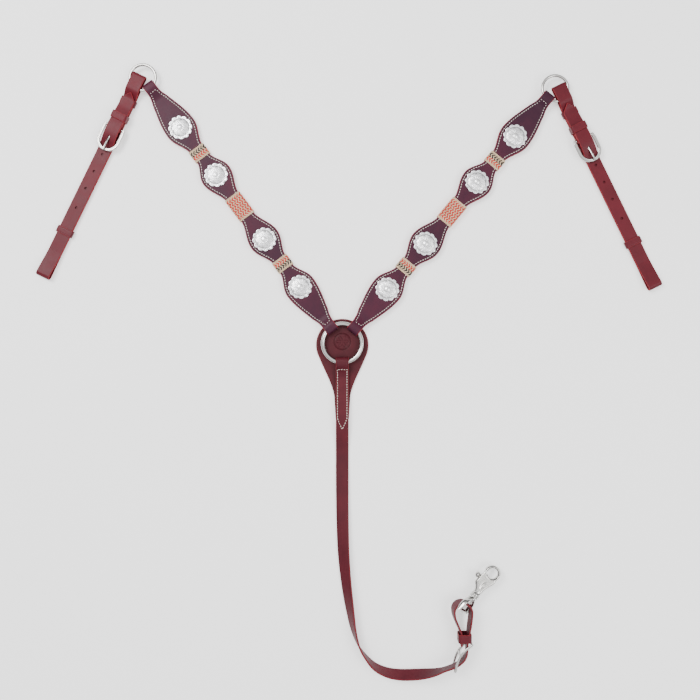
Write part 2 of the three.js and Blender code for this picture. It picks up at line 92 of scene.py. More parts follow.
TUG_OFFSET = {"left": -5.4, "right": 5.4}
centre = np.array(joints["left_shoulder_swing"]["pos_m"])
ring_at = {side: np.array(joints[side + "_tug_swing"]["pos_m"]) for side in ("left", "right")}
shoulder_lay = {side: Lay(centre, ring_at[side] - centre) for side in ring_at}
tug_lay = {}
for side, place in ring_at.items():
    lay = Lay(place, joints[side + "_keeper_slide"]["axis"])
    lay.origin = lay.origin + lay.across * TUG_OFFSET[side] * MM
    tug_lay[side] = lay
chest_lay = Lay(centre, (1, 0))
print("shoulder length", round(float(np.linalg.norm(ring_at["left"] - centre)) / MM, 1), "mm")

# %% [markdown]
# ## Paths
# A strap's path is drawn with a few points and a curve through them, a Catmull-Rom spline, which
# passes through every point. Bends round a ring are true arcs.

# %% Curves through points
def smooth(points, gap=1.5):
    """A centripetal Catmull-Rom curve through the points, sampled about every gap."""
    p = np.array(points, float)
    p = np.vstack([2 * p[0] - p[1], p, 2 * p[-1] - p[-2]])
    out = []
    for i in range(1, len(p) - 2):
        quad = p[i - 1:i + 3]
        steps = np.sqrt(np.linalg.norm(np.diff(quad, axis=0), axis=1)) + 1e-9
        t = np.concatenate([[0], np.cumsum(steps)])
        count = max(2, int(math.ceil(np.linalg.norm(quad[2] - quad[1]) / gap)))
        for s in np.linspace(t[1], t[2], count, endpoint=False):
            a = [quad[k] + (quad[k + 1] - quad[k]) * (s - t[k]) / (t[k + 1] - t[k]) for k in range(3)]
            b = [a[k] + (a[k + 1] - a[k]) * (s - t[k]) / (t[k + 2] - t[k]) for k in range(2)]
            out.append(b[0] + (b[1] - b[0]) * (s - t[1]) / (t[2] - t[1]))
    out.append(p[-2])
    return np.array(out)


def arc(cx, cy, radius, start, end, steps=14):
    """Points on a circle, in degrees."""
    angles = np.radians(np.linspace(start, end, steps + 1))
    return np.stack([cx + radius * np.cos(angles), cy + radius * np.sin(angles)], axis=1)


def chain(*parts):
    """Paths end to end, without their doubled points."""
    points = np.vstack(parts)
    keep = np.concatenate([[True], np.linalg.norm(np.diff(points, axis=0), axis=1) > 0.05])
    return points[keep]


def even(points, gap):
    """The same path with evenly spaced points."""
    run = np.concatenate([[0], np.cumsum(np.linalg.norm(np.diff(points, axis=0), axis=1))])
    stops = np.linspace(0, run[-1], max(2, int(round(run[-1] / gap))) + 1)
    return np.stack([np.interp(stops, run, points[:, k]) for k in range(points.shape[1])], axis=1)


# %% [markdown]
# ## Skinning
# Straps, wires and keepers are all a section pushed along a path. One function lays the sections
# down as rows of points and joins them with quads. Straps carry two extra things for their
# material: a UV map in metres, so that a pattern can follow the strap, and a `cut` attribute that
# is 1 on the cut edge, where the red core of the leather shows.

# %% Rows of points to a mesh
def placed(name, data):
    """A new object in the scene."""
    made = bpy.data.objects.new(name, data)
    bpy.context.collection.objects.link(made)
    return made


def finished_mesh(piece):
    """The mesh that a piece's modifiers make."""
    graph = bpy.context.evaluated_depsgraph_get()
    return bpy.data.meshes.new_from_object(piece.evaluated_get(graph), depsgraph=graph)


def lathe(profile, sides, at):
    """Rows of points round an axis, one for each (radius, height)."""
    angles = np.linspace(0, 2 * math.pi, sides, endpoint=False)
    return np.array([[at(r * math.cos(a), r * math.sin(a), z) for a in angles] for r, z in profile])


def piece_from(name, verts, faces, cut=None, uv=None):
    mesh = bpy.data.meshes.new(name)
    mesh.from_pydata([tuple(v) for v in verts], [], faces)
    mesh.validate()
    if cut is not None:
        mesh.attributes.new("cut", "FLOAT", "POINT").data.foreach_set("value", np.asarray(cut, float))
    if uv is not None:
        layer = mesh.uv_layers.new(name="strap")
        corner = np.empty(len(mesh.loops), int)
        mesh.loops.foreach_get("vertex_index", corner)
        layer.data.foreach_set("uv", np.asarray(uv, float)[corner].ravel())
    mesh.polygons.foreach_set("use_smooth", [True] * len(mesh.polygons))
    mesh.set_sharp_from_angle(angle=math.radians(50))
    return placed(name, mesh)


def skin(name, rows, closed=False, cut=None, uv=None):
    """rows is (rows, points round, 3). Open ends are capped with a fan."""
    count, around = rows.shape[:2]
    verts = list(rows.reshape(-1, 3))
    faces = []
    for i in range(count if closed else count - 1):
        a, b = i * around, ((i + 1) % count) * around
        for k in range(around):
            n = (k + 1) % around
            faces.append((a + k, a + n, b + n, b + k))
    cut = list(np.zeros(len(verts)) if cut is None else np.asarray(cut).ravel())
    uv = list(np.zeros((len(verts), 2)) if uv is None else np.asarray(uv).reshape(-1, 2))
    if not closed:
        for row, flip in ((0, True), (count - 1, False)):
            verts.append(rows[row].mean(axis=0))
            cut.append(1.0)
            uv.append(uv[row * around])
            tip, first = len(verts) - 1, row * around
            for k in range(around):
                a, b = first + k, first + (k + 1) % around
                faces.append((tip, b, a) if flip else (tip, a, b))
    piece = piece_from(name, verts, faces, cut, uv)
    outward(piece)
    return piece


def outward(piece):
    """Turns every face of a closed mesh outwards."""
    work = bmesh.new()
    work.from_mesh(piece.data)
    bmesh.ops.recalc_face_normals(work, faces=work.faces)
    work.to_mesh(piece.data)
    work.free()


def directions(points, closed=False):
    """The unit direction of a path at each of its points."""
    ahead = np.roll(points, -1, axis=0) - np.roll(points, 1, axis=0)
    if not closed:
        ahead[0] = points[1] - points[0]
        ahead[-1] = points[-1] - points[-2]
    return ahead / np.linalg.norm(ahead, axis=1)[:, None]


# %% [markdown]
# ## Straps and wires
# Leather straps have rounded edges and often a creased line near them, and wire is round or oval.
# A curve with a bevel could make both, but it gives little say over which way a strap faces. Here
# the section is laid out at every point of the path, square to a direction that we choose.

# %% A strap's section
CORNER_STEPS = 5


def strap(name, centres, across, half, thick, closed=False, crease=None, crown=0.0):
    """A strap with rounded edges. half may be one number or one for each point, in metres."""
    half = np.broadcast_to(np.asarray(half, float), len(centres))
    across = np.broadcast_to(np.asarray(across, float), centres.shape)
    normal = np.cross(directions(centres, closed), across)
    normal = normal / np.linalg.norm(normal, axis=1)[:, None]
    run = np.concatenate([[0], np.cumsum(np.linalg.norm(np.diff(centres, axis=0), axis=1))])
    depth = thick / 2
    corner = depth * 0.92
    insets = [corner, corner * 1.6]
    dips = [0.0, 0.0]
    if crease:
        insets += [crease - 0.45 * MM, crease, crease + 0.45 * MM]
        dips += [0.0, 0.16 * MM, 0.0]
    insets.append(max(insets) + 1.2 * MM)
    dips.append(0.0)
    section = []
    for inset, dip in reversed(list(zip(insets, dips))):
        section.append((1, inset, depth - dip, 0))
    for a in np.radians(np.linspace(90, -90, CORNER_STEPS + 2))[1:-1]:
        section.append((1, corner - corner * math.cos(a), depth * math.sin(a), 1))
    for inset in insets[:2]:
        section.append((1, inset, -depth, 0))
    mirror = [(-s, inset, b, c) for s, inset, b, c in reversed(section)]
    section = section + mirror
    rows = np.empty((len(centres), len(section), 3))
    uv = np.empty((len(centres), len(section), 2))
    cut = np.empty((len(centres), len(section)))
    for k, (sign, inset, b, c) in enumerate(section):
        v = sign * np.maximum(half - inset, 0.1 * MM)
        lift = crown * (1 - (v / half) ** 2) if b > 0 else 0 * half
        rows[:, k] = centres + across * v[:, None] + normal * (b + lift)[:, None]
        uv[:, k, 0], uv[:, k, 1] = run, v
        cut[:, k] = c
    return skin(name, rows, closed, cut, uv)


def wire(name, centres, across, wide, tall, closed=False, sides=20, groove=0.0):
    """A wire or bar of oval section. groove is the share of its height sunk along its top."""
    wide = np.broadcast_to(np.asarray(wide, float), len(centres))
    tall = np.broadcast_to(np.asarray(tall, float), len(centres))
    across = np.broadcast_to(np.asarray(across, float), centres.shape)
    normal = np.cross(directions(centres, closed), across)
    normal = normal / np.linalg.norm(normal, axis=1)[:, None]
    across = np.cross(normal, directions(centres, closed))
    rows = np.empty((len(centres), sides, 3))
    for k in range(sides):
        a = 2 * math.pi * k / sides
        sink = 1 - groove * math.exp(-((math.cos(a) / 0.35) ** 2)) if math.sin(a) > 0 else 1
        rows[:, k] = (centres + across * (wide * math.cos(a))[:, None]
                      + normal * (tall * math.sin(a) * sink)[:, None])
    return skin(name, rows, closed)


# %% [markdown]
# ## Shader maths as expressions
# Node trees read badly when each Math node takes four lines, so a small class wraps a socket and
# lets ordinary operators add the nodes. One method makes every other kind of node.

# %% A socket that does arithmetic
class Value:
    """A number socket with operators."""

    def __init__(self, finish, socket):
        self.finish, self.socket = finish, socket

    def _math(self, operation, a, b):
        return self.finish.node("ShaderNodeMath", {"operation": operation}, {0: a, 1: b})

    def __add__(self, other):
        return self._math("ADD", self, other)

    __radd__ = __add__

    def __mul__(self, other):
        return self._math("MULTIPLY", self, other)

    __rmul__ = __mul__

    def __sub__(self, other):
        return self._math("SUBTRACT", self, other)

    def __rsub__(self, other):
        return self._math("SUBTRACT", other, self)

    def __pow__(self, other):
        return self._math("POWER", self, other)

    def clamp(self):
        return self._math("MINIMUM", self._math("MAXIMUM", self, 0.0), 1.0)

    def above(self, edge):
        return self._math("GREATER_THAN", self, edge)


class Finish:
    """A material with a Principled shader and a few ready sockets."""

    def __init__(self, name, rough, metal=0.0, **fixed):
        self.material = bpy.data.materials.new(name)
        self.material.use_nodes = True
        self.tree = self.material.node_tree
        self.shader = next(n for n in self.tree.nodes if n.type == "BSDF_PRINCIPLED")
        self.shader.inputs["Roughness"].default_value = rough
        self.shader.inputs["Metallic"].default_value = metal
        for socket, value in fixed.items():
            self.shader.inputs[socket.replace("_", " ")].default_value = value
        self.object = self.node("ShaderNodeTexCoord", out="Object")

    def node(self, kind, settings=None, inputs=None, out=0):
        made = self.tree.nodes.new(kind)
        for key, value in (settings or {}).items():
            if key == "stops":
                ramp = made.color_ramp
                while len(ramp.elements) < len(value):
                    ramp.elements.new(0.5)
                for element, (place, colour) in zip(ramp.elements, value):
                    element.position, element.color = place, (*colour, 1)
            else:
                setattr(made, key, value)
        for key, value in (inputs or {}).items():
            if isinstance(value, Value):
                self.tree.links.new(value.socket, made.inputs[key])
            else:
                made.inputs[key].default_value = value
        return Value(self, made.outputs[out])

    def noise(self, scale, detail=4.0, rough=0.55, vector=None):
        inputs = {"Vector": vector or self.object, "Scale": scale, "Detail": detail, "Roughness": rough}
        return self.node("ShaderNodeTexNoise", {}, inputs)

    def cells(self, scale, feature="F1"):
        inputs = {"Vector": self.object, "Scale": scale}
        return self.node("ShaderNodeTexVoronoi", {"feature": feature}, inputs, "Distance")

    def attribute(self, name):
        return self.node("ShaderNodeAttribute", {"attribute_name": name}, out="Fac")

    def mix(self, factor, a, b):
        a, b = [(*c, 1) if isinstance(c, tuple) else c for c in (a, b)]
        return self.node("ShaderNodeMix", {"data_type": "RGBA"}, {0: factor, 6: a, 7: b}, 2)

    def set(self, socket, value):
        self.tree.links.new(value.socket, self.shader.inputs[socket])

    def bump(self, height, strength, distance):
        inputs = {"Height": height, "Strength": strength, "Distance": distance}
        self.set("Normal", self.node("ShaderNodeBump", {}, inputs))


# %% [markdown]
# ## Leather
# Oiled harness leather is dark where dye sits deep and redder where it has been pulled over a bend.
# Its surface has a fine pebble from the hair side, faint long stretch marks, and pores. The cut edge
# is dyed bright red. The noise is read in object space, so that every strap has its own patches.

# %% Leather finishes
def leather(name, deep, light, edge, rough):
    finish = Finish(name, rough, Coat_Weight=0.03, Coat_Roughness=0.4, Specular_IOR_Level=0.16)
    patches = finish.noise(9.0, 5.0, 0.6)
    mottle = finish.noise(70.0, 4.0, 0.6)
    pebble = finish.cells(900.0)
    pores = finish.cells(420.0)
    tone = ((patches - 0.36) * 2.4 + (mottle - 0.5) * 0.7).clamp()
    colour = finish.mix(tone, deep, light)
    pore_mask = (1.0 - pores * 3.2).clamp() * 0.28
    colour = finish.mix(pore_mask, colour, tuple(c * 0.45 for c in deep))
    cut = finish.attribute("cut")
    colour = finish.mix((finish.attribute("stamped") * 0.6).clamp(), colour, tuple(c * 0.3 for c in deep))
    worn = (cut * (0.4 + mottle * 0.8)).clamp()
    finish.set("Base Color", finish.mix(worn, colour, edge))
    finish.set("Roughness", (rough - 0.14 + mottle * 0.2 + patches * 0.12 + cut * 0.1).clamp())
    fibre = finish.noise(1500.0, 2.0, 0.7)
    height = pebble * 0.7 + fibre * 0.35 + mottle * 0.5
    finish.bump(height, 0.5, 0.00012)
    return finish.material


RED_EDGE = (0.27, 0.022, 0.028)
DARK_EDGE = (0.17, 0.017, 0.023)
looks = {
    "shoulder": leather("shoulder_leather", (0.034, 0.0078, 0.0195), (0.078, 0.0105, 0.026), RED_EDGE, 0.46),
    "lining": leather("lining_leather", (0.06, 0.011, 0.018), (0.1, 0.017, 0.026), RED_EDGE, 0.65),
    "tug": leather("tug_leather", (0.082, 0.0075, 0.0135), (0.135, 0.012, 0.021), RED_EDGE, 0.43),
    "tie": leather("tie_down_leather", (0.06, 0.0068, 0.0125), (0.105, 0.0105, 0.018), DARK_EDGE, 0.46),
    "shield": leather("shield_leather", (0.052, 0.0062, 0.0105), (0.086, 0.0088, 0.014), DARK_EDGE, 0.46),
}
print("leathers", sorted(looks))

# %% [markdown]
# ## Metal, rawhide and thread
# Nickel is polished but never perfect: its roughness wanders, and fine scratches run over it. The
# conchos are silver with dark patina left in the engraving, which the `cut` attribute marks. Rawhide
# strands and thread come in the next cell.

# %% Metal finishes
def metal(name, bright, dull, rough, engraved=False):
    finish = Finish(name, rough, 1.0)
    cloud = finish.noise(60.0, 5.0, 0.6)
    stretch = finish.node("ShaderNodeMapping", {}, {"Vector": finish.object, "Scale": (90.0, 900.0, 300.0)})
    scratch = finish.noise(2.0, 3.0, 0.7, stretch)
    colour = finish.mix(((cloud - 0.35) * 1.8).clamp(), dull, bright)
    if engraved:
        colour = finish.mix((finish.attribute("cut") * 0.85).clamp(), colour, (0.16, 0.15, 0.145))
    finish.set("Base Color", colour)
    finish.set("Roughness", (rough - 0.06 + cloud * 0.12 + scratch * 0.06).clamp())
    finish.bump(scratch + cloud * 0.5, 0.12, 0.00005)
    return finish.material


looks["nickel"] = metal("polished_nickel", (0.64, 0.625, 0.605), (0.48, 0.47, 0.45), 0.14)
looks["silver"] = metal("engraved_silver", (0.95, 0.95, 0.96), (0.84, 0.84, 0.86), 0.3, True)


# %% [markdown]
# ## Rawhide and thread
# Dyed rawhide is fibrous, and waxed thread is fine and matt. Both could be painted images, but
# noise much finer than a strand reads as fibre at any distance, so one function makes them all.

# %% Rawhide and thread finishes
def strand(name, colour, dark, scale):
    finish = Finish(name, 0.55)
    fibre = finish.noise(scale, 4.0, 0.7)
    cloud = finish.noise(scale / 9, 3.0, 0.5)
    finish.set("Base Color", finish.mix(((fibre * 0.7 + cloud * 0.6 - 0.35) * 1.6).clamp(), dark, colour))
    finish.set("Roughness", (0.42 + fibre * 0.25).clamp())
    finish.bump(fibre, 0.4, 0.00008)
    return finish.material


looks["cream"] = strand("rawhide_cream", (0.78, 0.62, 0.43), (0.55, 0.37, 0.21), 900.0)
looks["red"] = strand("rawhide_red", (0.62, 0.022, 0.012), (0.4, 0.014, 0.008), 900.0)
looks["black"] = strand("rawhide_black", (0.014, 0.01, 0.011), (0.005, 0.004, 0.004), 900.0)
# The core's dark brown is painted shade in the braid's gaps, over the strands beneath.
looks["core"] = strand("rawhide_core", (0.22, 0.11, 0.06), (0.1, 0.05, 0.03), 700.0)
looks["thread"] = strand("waxed_thread", (0.82, 0.76, 0.68), (0.6, 0.54, 0.47), 2400.0)


# %% [markdown]
# ## Dressing a piece
# Each finished piece gets one material, moves with one body, and stands for the CAD nodes that it
# covers. All three are easy to forget, so one helper does them together.

# %% Dress a piece
def dress(piece, look, body, slot, *nodes):
    """Gives a finished piece its material, its body and the CAD nodes it stands for. slot is not used."""
    piece.data.materials.clear()
    piece.data.materials.append(looks[look])
    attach(piece, body)
    if nodes:
        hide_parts(*nodes)
    return piece


# %% [markdown]
# ## A row of small things, with Geometry Nodes
# Stitches, braid strands and beads all repeat along a line, so one node tree makes them. It turns
# a polyline into a curve, spaces points along it, and puts a small rounded piece on each, lying
# along the line and facing the way that the line's `outward` attribute says. `Slant` turns the
# pieces, which makes the herringbone of a braid. The tree ends in Realize Instances.

# %% The row tree
def build_row_tree():
    tree = bpy.data.node_groups.new("row_of_pieces", "GeometryNodeTree")
    face = tree.interface
    face.new_socket("Line", in_out="INPUT", socket_type="NodeSocketGeometry")
    for name in ("Spacing", "Length", "Width", "Height", "Slant"):
        face.new_socket(name, in_out="INPUT", socket_type="NodeSocketFloat")
    face.new_socket("Finish", in_out="INPUT", socket_type="NodeSocketMaterial")
    face.new_socket("Row", in_out="OUTPUT", socket_type="NodeSocketGeometry")
    link = tree.links.new
    add = tree.nodes.new
    given = add("NodeGroupInput")
    curve = add("GeometryNodeMeshToCurve")
    link(given.outputs["Line"], curve.inputs["Mesh"])
    spaced = add("GeometryNodeResampleCurve")
    spaced.mode = "LENGTH"
    link(curve.outputs["Curve"], spaced.inputs["Curve"])
    link(given.outputs["Spacing"], spaced.inputs["Length"])
    bead = add("GeometryNodeMeshUVSphere")
    bead.inputs["Segments"].default_value = 8
    bead.inputs["Rings"].default_value = 6
    bead.inputs["Radius"].default_value = 0.5
    size = add("ShaderNodeCombineXYZ")
    for axis, name in zip("XYZ", ("Length", "Width", "Height")):
        link(given.outputs[name], size.inputs[axis])
    facing = add("GeometryNodeInputNamedAttribute")
    facing.data_type = "FLOAT_VECTOR"
    facing.inputs["Name"].default_value = "outward"
    stand = add("FunctionNodeAlignRotationToVector")
    stand.axis = "Z"
    link(facing.outputs["Attribute"], stand.inputs["Vector"])
    tangent = add("GeometryNodeInputTangent")
    lie = add("FunctionNodeAlignRotationToVector")
    lie.axis = "X"
    lie.pivot_axis = "Z"
    link(stand.outputs["Rotation"], lie.inputs["Rotation"])
    link(tangent.outputs["Tangent"], lie.inputs["Vector"])
    turn = add("ShaderNodeCombineXYZ")
    link(given.outputs["Slant"], turn.inputs["Z"])
    as_rotation = add("FunctionNodeEulerToRotation")
    link(turn.outputs["Vector"], as_rotation.inputs["Euler"])
    slanted = add("FunctionNodeRotateRotation")
    slanted.rotation_space = "LOCAL"
    link(lie.outputs["Rotation"], slanted.inputs["Rotation"])
    link(as_rotation.outputs["Rotation"], slanted.inputs["Rotate By"])
    place = add("GeometryNodeInstanceOnPoints")
    link(spaced.outputs["Curve"], place.inputs["Points"])
    link(bead.outputs["Mesh"], place.inputs["Instance"])
    link(slanted.outputs["Rotation"], place.inputs["Rotation"])
    link(size.outputs["Vector"], place.inputs["Scale"])
    real = add("GeometryNodeRealizeInstances")
    link(place.outputs["Instances"], real.inputs["Geometry"])
    soft = add("GeometryNodeSetShadeSmooth")
    link(real.outputs["Geometry"], soft.inputs["Geometry"])
    coat = add("GeometryNodeSetMaterial")
    link(soft.outputs["Geometry"], coat.inputs["Geometry"])
    link(given.outputs["Finish"], coat.inputs["Material"])
    made = add("NodeGroupOutput")
    link(coat.outputs["Geometry"], made.inputs["Row"])
    return tree


row_tree = build_row_tree()


# %% [markdown]
# ## Running the row tree
# Geometry Nodes needs an object to work on. The lines become a mesh of edges, the tree runs on it
# once, and the result is kept as a plain mesh that can have its own body.

# %% Run the row tree
def row_of_pieces(name, lines, look, spacing, size, slant=0.0):
    """lines is a list of (points, outward, closed). size is (length, width, height) in metres."""
    verts, edges, facing = [], [], []
    for points, outward_to, closed in lines:
        first = len(verts)
        verts += [tuple(p) for p in points]
        facing.append(np.broadcast_to(np.asarray(outward_to, float), (len(points), 3)))
        edges += [(first + i, first + i + 1) for i in range(len(points) - 1)]
        if closed:
            edges.append((first + len(points) - 1, first))
    mesh = bpy.data.meshes.new(name + "_line")
    mesh.from_pydata(verts, edges, [])
    outward_data = mesh.attributes.new("outward", "FLOAT_VECTOR", "POINT").data
    outward_data.foreach_set("vector", np.vstack(facing).ravel())
    guide = placed(name + "_guide", mesh)
    modifier = guide.modifiers.new("row", "NODES")
    modifier.node_group = row_tree
    values = dict(zip(("Spacing", "Length", "Width", "Height", "Slant"), (spacing, *size, slant)))
    values["Finish"] = looks[look]
    for item in row_tree.interface.items_tree:
        if item.in_out == "INPUT" and item.name in values:
            modifier[item.identifier] = values[item.name]
    made = finished_mesh(guide)
    made.name = name
    bpy.data.objects.remove(guide)
    return placed(name, made)


# %% [markdown]
# ## Shoulders
# Each shoulder is a face and a lining of leather cut in four scallops, stitched together. The face
# leather folds round the centre ring at one end and the upper ring at the other. Since the face is
# one strap whose width changes, it is one sweep: its path runs under the ring, round it, along the
# top and round the other ring, and a formula gives the half width of each scallop.

# %% Scalloped outline
NECK_HALF = 11.5
SCALLOP_HALF = 23.5
SCALLOPS = [(104, 66, 33), (192, 35, 41), (311, 38, 31), (399, 37, 64)]
WRAPS = [(147, 19), (253, 39), (352, 19)]
PLY = 2.4
LINING_LOW = 3.3
LINING_MID = LINING_LOW + PLY / 2
FACE_MID = LINING_LOW + PLY + 0.3 + PLY / 2
FACE_TOP = FACE_MID + PLY / 2
RING_R = 28.6
UPPER_R = 19.0
MIDWAY_U = 200
TOP_FROM = LINING_MID + 2
LINING_INSET = 24
UPPER_WIRE_U = float(np.linalg.norm(ring_at["left"] - centre)) / MM - UPPER_R


def scallop_half(u):
    half = NECK_HALF
    for place, below, above in SCALLOPS:
        reach = min(abs(u - place) / (below if u < place else above), 1)
        half = max(half, NECK_HALF + (SCALLOP_HALF - NECK_HALF) * math.cos(reach * math.pi / 2) ** 1.6)
    return half


# %% [markdown]
# ## Face and lining
# The face leather is the long strap, and the lining is a shorter one behind it. Both could be flat
# outlines made thick with Solidify, but then the folds round the rings would be extra pieces. A
# sweep makes each of them whole.

# %% Shoulder face and lining
LOWER_LOOP = {"wire": RING_R, "ring": RING_R, "half": 9.5, "inner": 3.625, "way": 1}
UPPER_LOOP = {"wire": UPPER_WIRE_U, "ring": UPPER_R, "half": 9.0, "inner": 3.75, "way": -1}


def loop_path(wire, ring, half, inner, way):
    """From the end of the leg underneath, round the ring, to the flat of the face."""
    bend_u = wire - way * (ring - math.sqrt(ring**2 - half**2))
    r = inner + PLY / 2
    turn = (270, 90) if way > 0 else (-90, 90)
    under = smooth([(wire + way * 23, LINING_MID), (wire + way * 10, LINING_MID), (bend_u, LINING_MID)])
    over = smooth([(bend_u, LINING_MID + 2 * r), (wire + way * 4, LINING_MID + 2 * r - 0.2),
                   (wire + way * 14, FACE_MID + 1.6), (wire + way * 20, FACE_MID),
                   (wire + way * 26, FACE_MID)])
    return chain(under, arc(bend_u, LINING_MID + r, r, *turn), over)


def face_path():
    lower = loop_path(**LOWER_LOOP)
    upper = loop_path(**UPPER_LOOP)[::-1]
    return even(chain(lower, smooth([lower[-1], upper[0]], 3.0), upper), 1.2)


def flat_half(u):
    """Half width of the face at u, narrowing softly to each loop."""
    low = np.clip((u - RING_R - 6) / 22, 0, 1)
    high = np.clip((UPPER_WIRE_U - 6 - u) / 18, 0, 1)
    ends = LOWER_LOOP["half"] if u < MIDWAY_U else UPPER_LOOP["half"]
    blend = min(low * low * (3 - 2 * low), high * high * (3 - 2 * high))
    return ends + (scallop_half(u) - ends) * blend


def face_half(path):
    """Half widths along the face's path: the scallops on top, narrow where it folds back."""
    halves = []
    for u, z in path:
        ends = LOWER_LOOP["half"] if u < MIDWAY_U else UPPER_LOOP["half"]
        halves.append(flat_half(u) if z > TOP_FROM else ends)
    return np.array(halves) * MM


face_route = face_path()
top_part = face_route[face_route[:, 1] > TOP_FROM]
top_part = top_part[np.argsort(top_part[:, 0])]


def face_height(u):
    return float(np.interp(u, top_part[:, 0], top_part[:, 1])) + PLY / 2


def make_shoulder(side):
    lay, body = shoulder_lay[side], side + "_shoulder"
    route = lay.route(face_route)
    face = strap(side + "_face", route, lay.across, face_half(face_route), PLY * MM, crown=0.25 * MM)
    dress(face, "shoulder", body, "shoulder_leather", side + "_shoulder_face")
    us = np.arange(RING_R + LINING_INSET, UPPER_WIRE_U - LINING_INSET, 1.5)
    halves = np.array([scallop_half(u) for u in us]) * MM
    flat = lay.route([(u, LINING_MID) for u in us])
    lining = strap(side + "_lining", flat, lay.across, halves, PLY * MM)
    dress(lining, "lining", body, "shoulder_leather", side + "_shoulder_lining")
    print(side, "shoulder face has", len(face.data.vertices), "points")


for side in shoulder_lay:
    make_shoulder(side)

# %% [markdown]
# ## Stitching
# The seam runs 4 mm inside the edge of each shoulder and closes across both ends. Each stitch is a
# short rounded piece of thread, sunk a little into the leather.

# %% Seams
STITCH = (2.9 * MM, 0.95 * MM, 0.8 * MM)
STITCH_GAP = 3.9 * MM
SEAM_INSET = 3.9


def shoulder_seam(side):
    lay = shoulder_lay[side]
    start, end = RING_R + 8.5, UPPER_WIRE_U - 7
    us = np.arange(start, end, 1.0)
    halves = []
    for u in us:
        corner = np.clip((3 - min(u - start, end - u)) / 3, 0, 1)
        halves.append(flat_half(u) - SEAM_INSET - 3 * (1 - math.sqrt(1 - corner**2 * 0.96)))
    right = [lay.at(u, h, face_height(u) + 0.1) for u, h in zip(us, halves)]
    left = [lay.at(u, -h, face_height(u) + 0.1) for u, h in zip(us, halves)]
    loop = np.array(right + left[::-1])
    seam = row_of_pieces(side + "_shoulder_seam", [(loop, (0, 0, 1), True)], "thread", STITCH_GAP, STITCH)
    dress(seam, "thread", side + "_shoulder", "thread")
    print(side, "seam runs for", round(end - start), "mm")


for side in shoulder_lay:
    shoulder_seam(side)

# %% [markdown]
# ## Conchos
# A concho is a domed silver disc with a scalloped rim, a ring of beads and an engraved flower. A
# polar grid suits it: the height at each radius and angle is a formula, and where the formula cuts
# a groove it also marks the metal for patina. The beads come from the row tree.

# %% One concho
CONCHO_R = 17.8
CONCHO_BASE = FACE_TOP + 0.3


def concho_relief(r, a):
    """Height above the base and depth of engraving, both from 0, at a radius and angle."""
    rim = CONCHO_R - 1.9 + 1.9 * abs(math.cos(6 * a)) ** 0.8
    dome = 1.1 + 2.2 * max(0.0, 1 - (r / 14.0) ** 2) ** 0.8
    ring = math.exp(-((r - 13.4) / 0.45) ** 2) + 0.8 * math.exp(-((r - 4.0) / 0.4) ** 2)
    petal = 12.4 * abs(math.cos(4 * a)) ** 0.55
    edge = math.exp(-((r - petal) / 0.5) ** 2) if 4.4 < r < 13 else 0.0
    vein = math.exp(-((math.sin(8 * a) * r) / 1.6) ** 2) * 0.5 if 5 < r < 11 else 0.0
    bump = 0.35 * abs(math.cos(6 * a)) * max(0.0, (r - 14.2) / 3.6)
    cutting = min(1.0, ring + edge + vein)
    boss = 0.5 * math.exp(-((r / 2.2) ** 4))
    return rim, dome - 0.38 * cutting + boss + bump, cutting


def make_concho(side, index, u):
    lay, body = shoulder_lay[side], side + "_shoulder"
    rings, spokes = 34, 144
    verts, cut = [lay.at(u, 0, CONCHO_BASE + concho_relief(0, 0)[1])], [0.0]
    for i in range(1, rings + 1):
        for k in range(spokes):
            a = 2 * math.pi * k / spokes
            rim = concho_relief(0, a)[0]
            r = rim * i / rings
            height, engraved = concho_relief(r, a)[1:]
            drop = 0.5 * max(0.0, (i / rings - 0.94) / 0.06) ** 2
            verts.append(lay.at(u + r * math.cos(a), r * math.sin(a), CONCHO_BASE + height - drop))
            cut.append(engraved)
    for k in range(spokes):
        a = 2 * math.pi * k / spokes
        rim = concho_relief(0, a)[0] - 0.2
        verts.append(lay.at(u + rim * math.cos(a), rim * math.sin(a), CONCHO_BASE))
        cut.append(0.3)
    verts.append(lay.at(u, 0, CONCHO_BASE))
    cut.append(0.0)
    faces = [(0, 1 + k, 1 + (k + 1) % spokes) for k in range(spokes)]
    for i in range(rings):
        a, b = 1 + i * spokes, 1 + (i + 1) * spokes
        faces += [(a + k, b + k, b + (k + 1) % spokes, a + (k + 1) % spokes) for k in range(spokes)]
    last = 1 + rings * spokes
    faces += [(len(verts) - 1, last + (k + 1) % spokes, last + k) for k in range(spokes)]
    name = f"{side}_concho_{index}_disc"
    disc = piece_from(name, verts, faces, cut)
    outward(disc)
    dress(disc, "silver", body, "concho_silver", f"{side}_concho_{index}")


for side in shoulder_lay:
    for index, (u, _, _) in enumerate(SCALLOPS, 1):
        make_concho(side, index, u)
print(len(SCALLOPS), "conchos on each shoulder,", 2 * CONCHO_R, "mm across")

# %% [markdown]
# ## Beaded rims
# A ring of small beads runs round each concho. They could be part of the polar grid, but that would
# need a much finer grid, so the row tree sets them on a circle instead.

# %% Beaded rims
BEADS = 24
BEAD_RING_R = 15.2


def beaded_rims(side):
    lay, circles = shoulder_lay[side], []
    for u, _, _ in SCALLOPS:
        ring = [lay.at(u + x, y, CONCHO_BASE + 1.15) for x, y in arc(0, 0, BEAD_RING_R, 0, 360, 96)[:-1]]
        circles.append((np.array(ring), (0, 0, 1), True))
    pitch = 2 * math.pi * BEAD_RING_R / BEADS
    size = (2.1 * MM, 1.7 * MM, 1.5 * MM)
    beads = row_of_pieces(side + "_concho_beads", circles, "silver", pitch * 0.999 * MM, size)
    dress(beads, "silver", side + "_shoulder", "concho_silver")


for side in shoulder_lay:
    beaded_rims(side)
print(BEADS, "beads on each rim")

# %% [markdown]
# ## Concho screws
# Behind each concho a screw holds it through both leathers. Its low round head shows on the back.

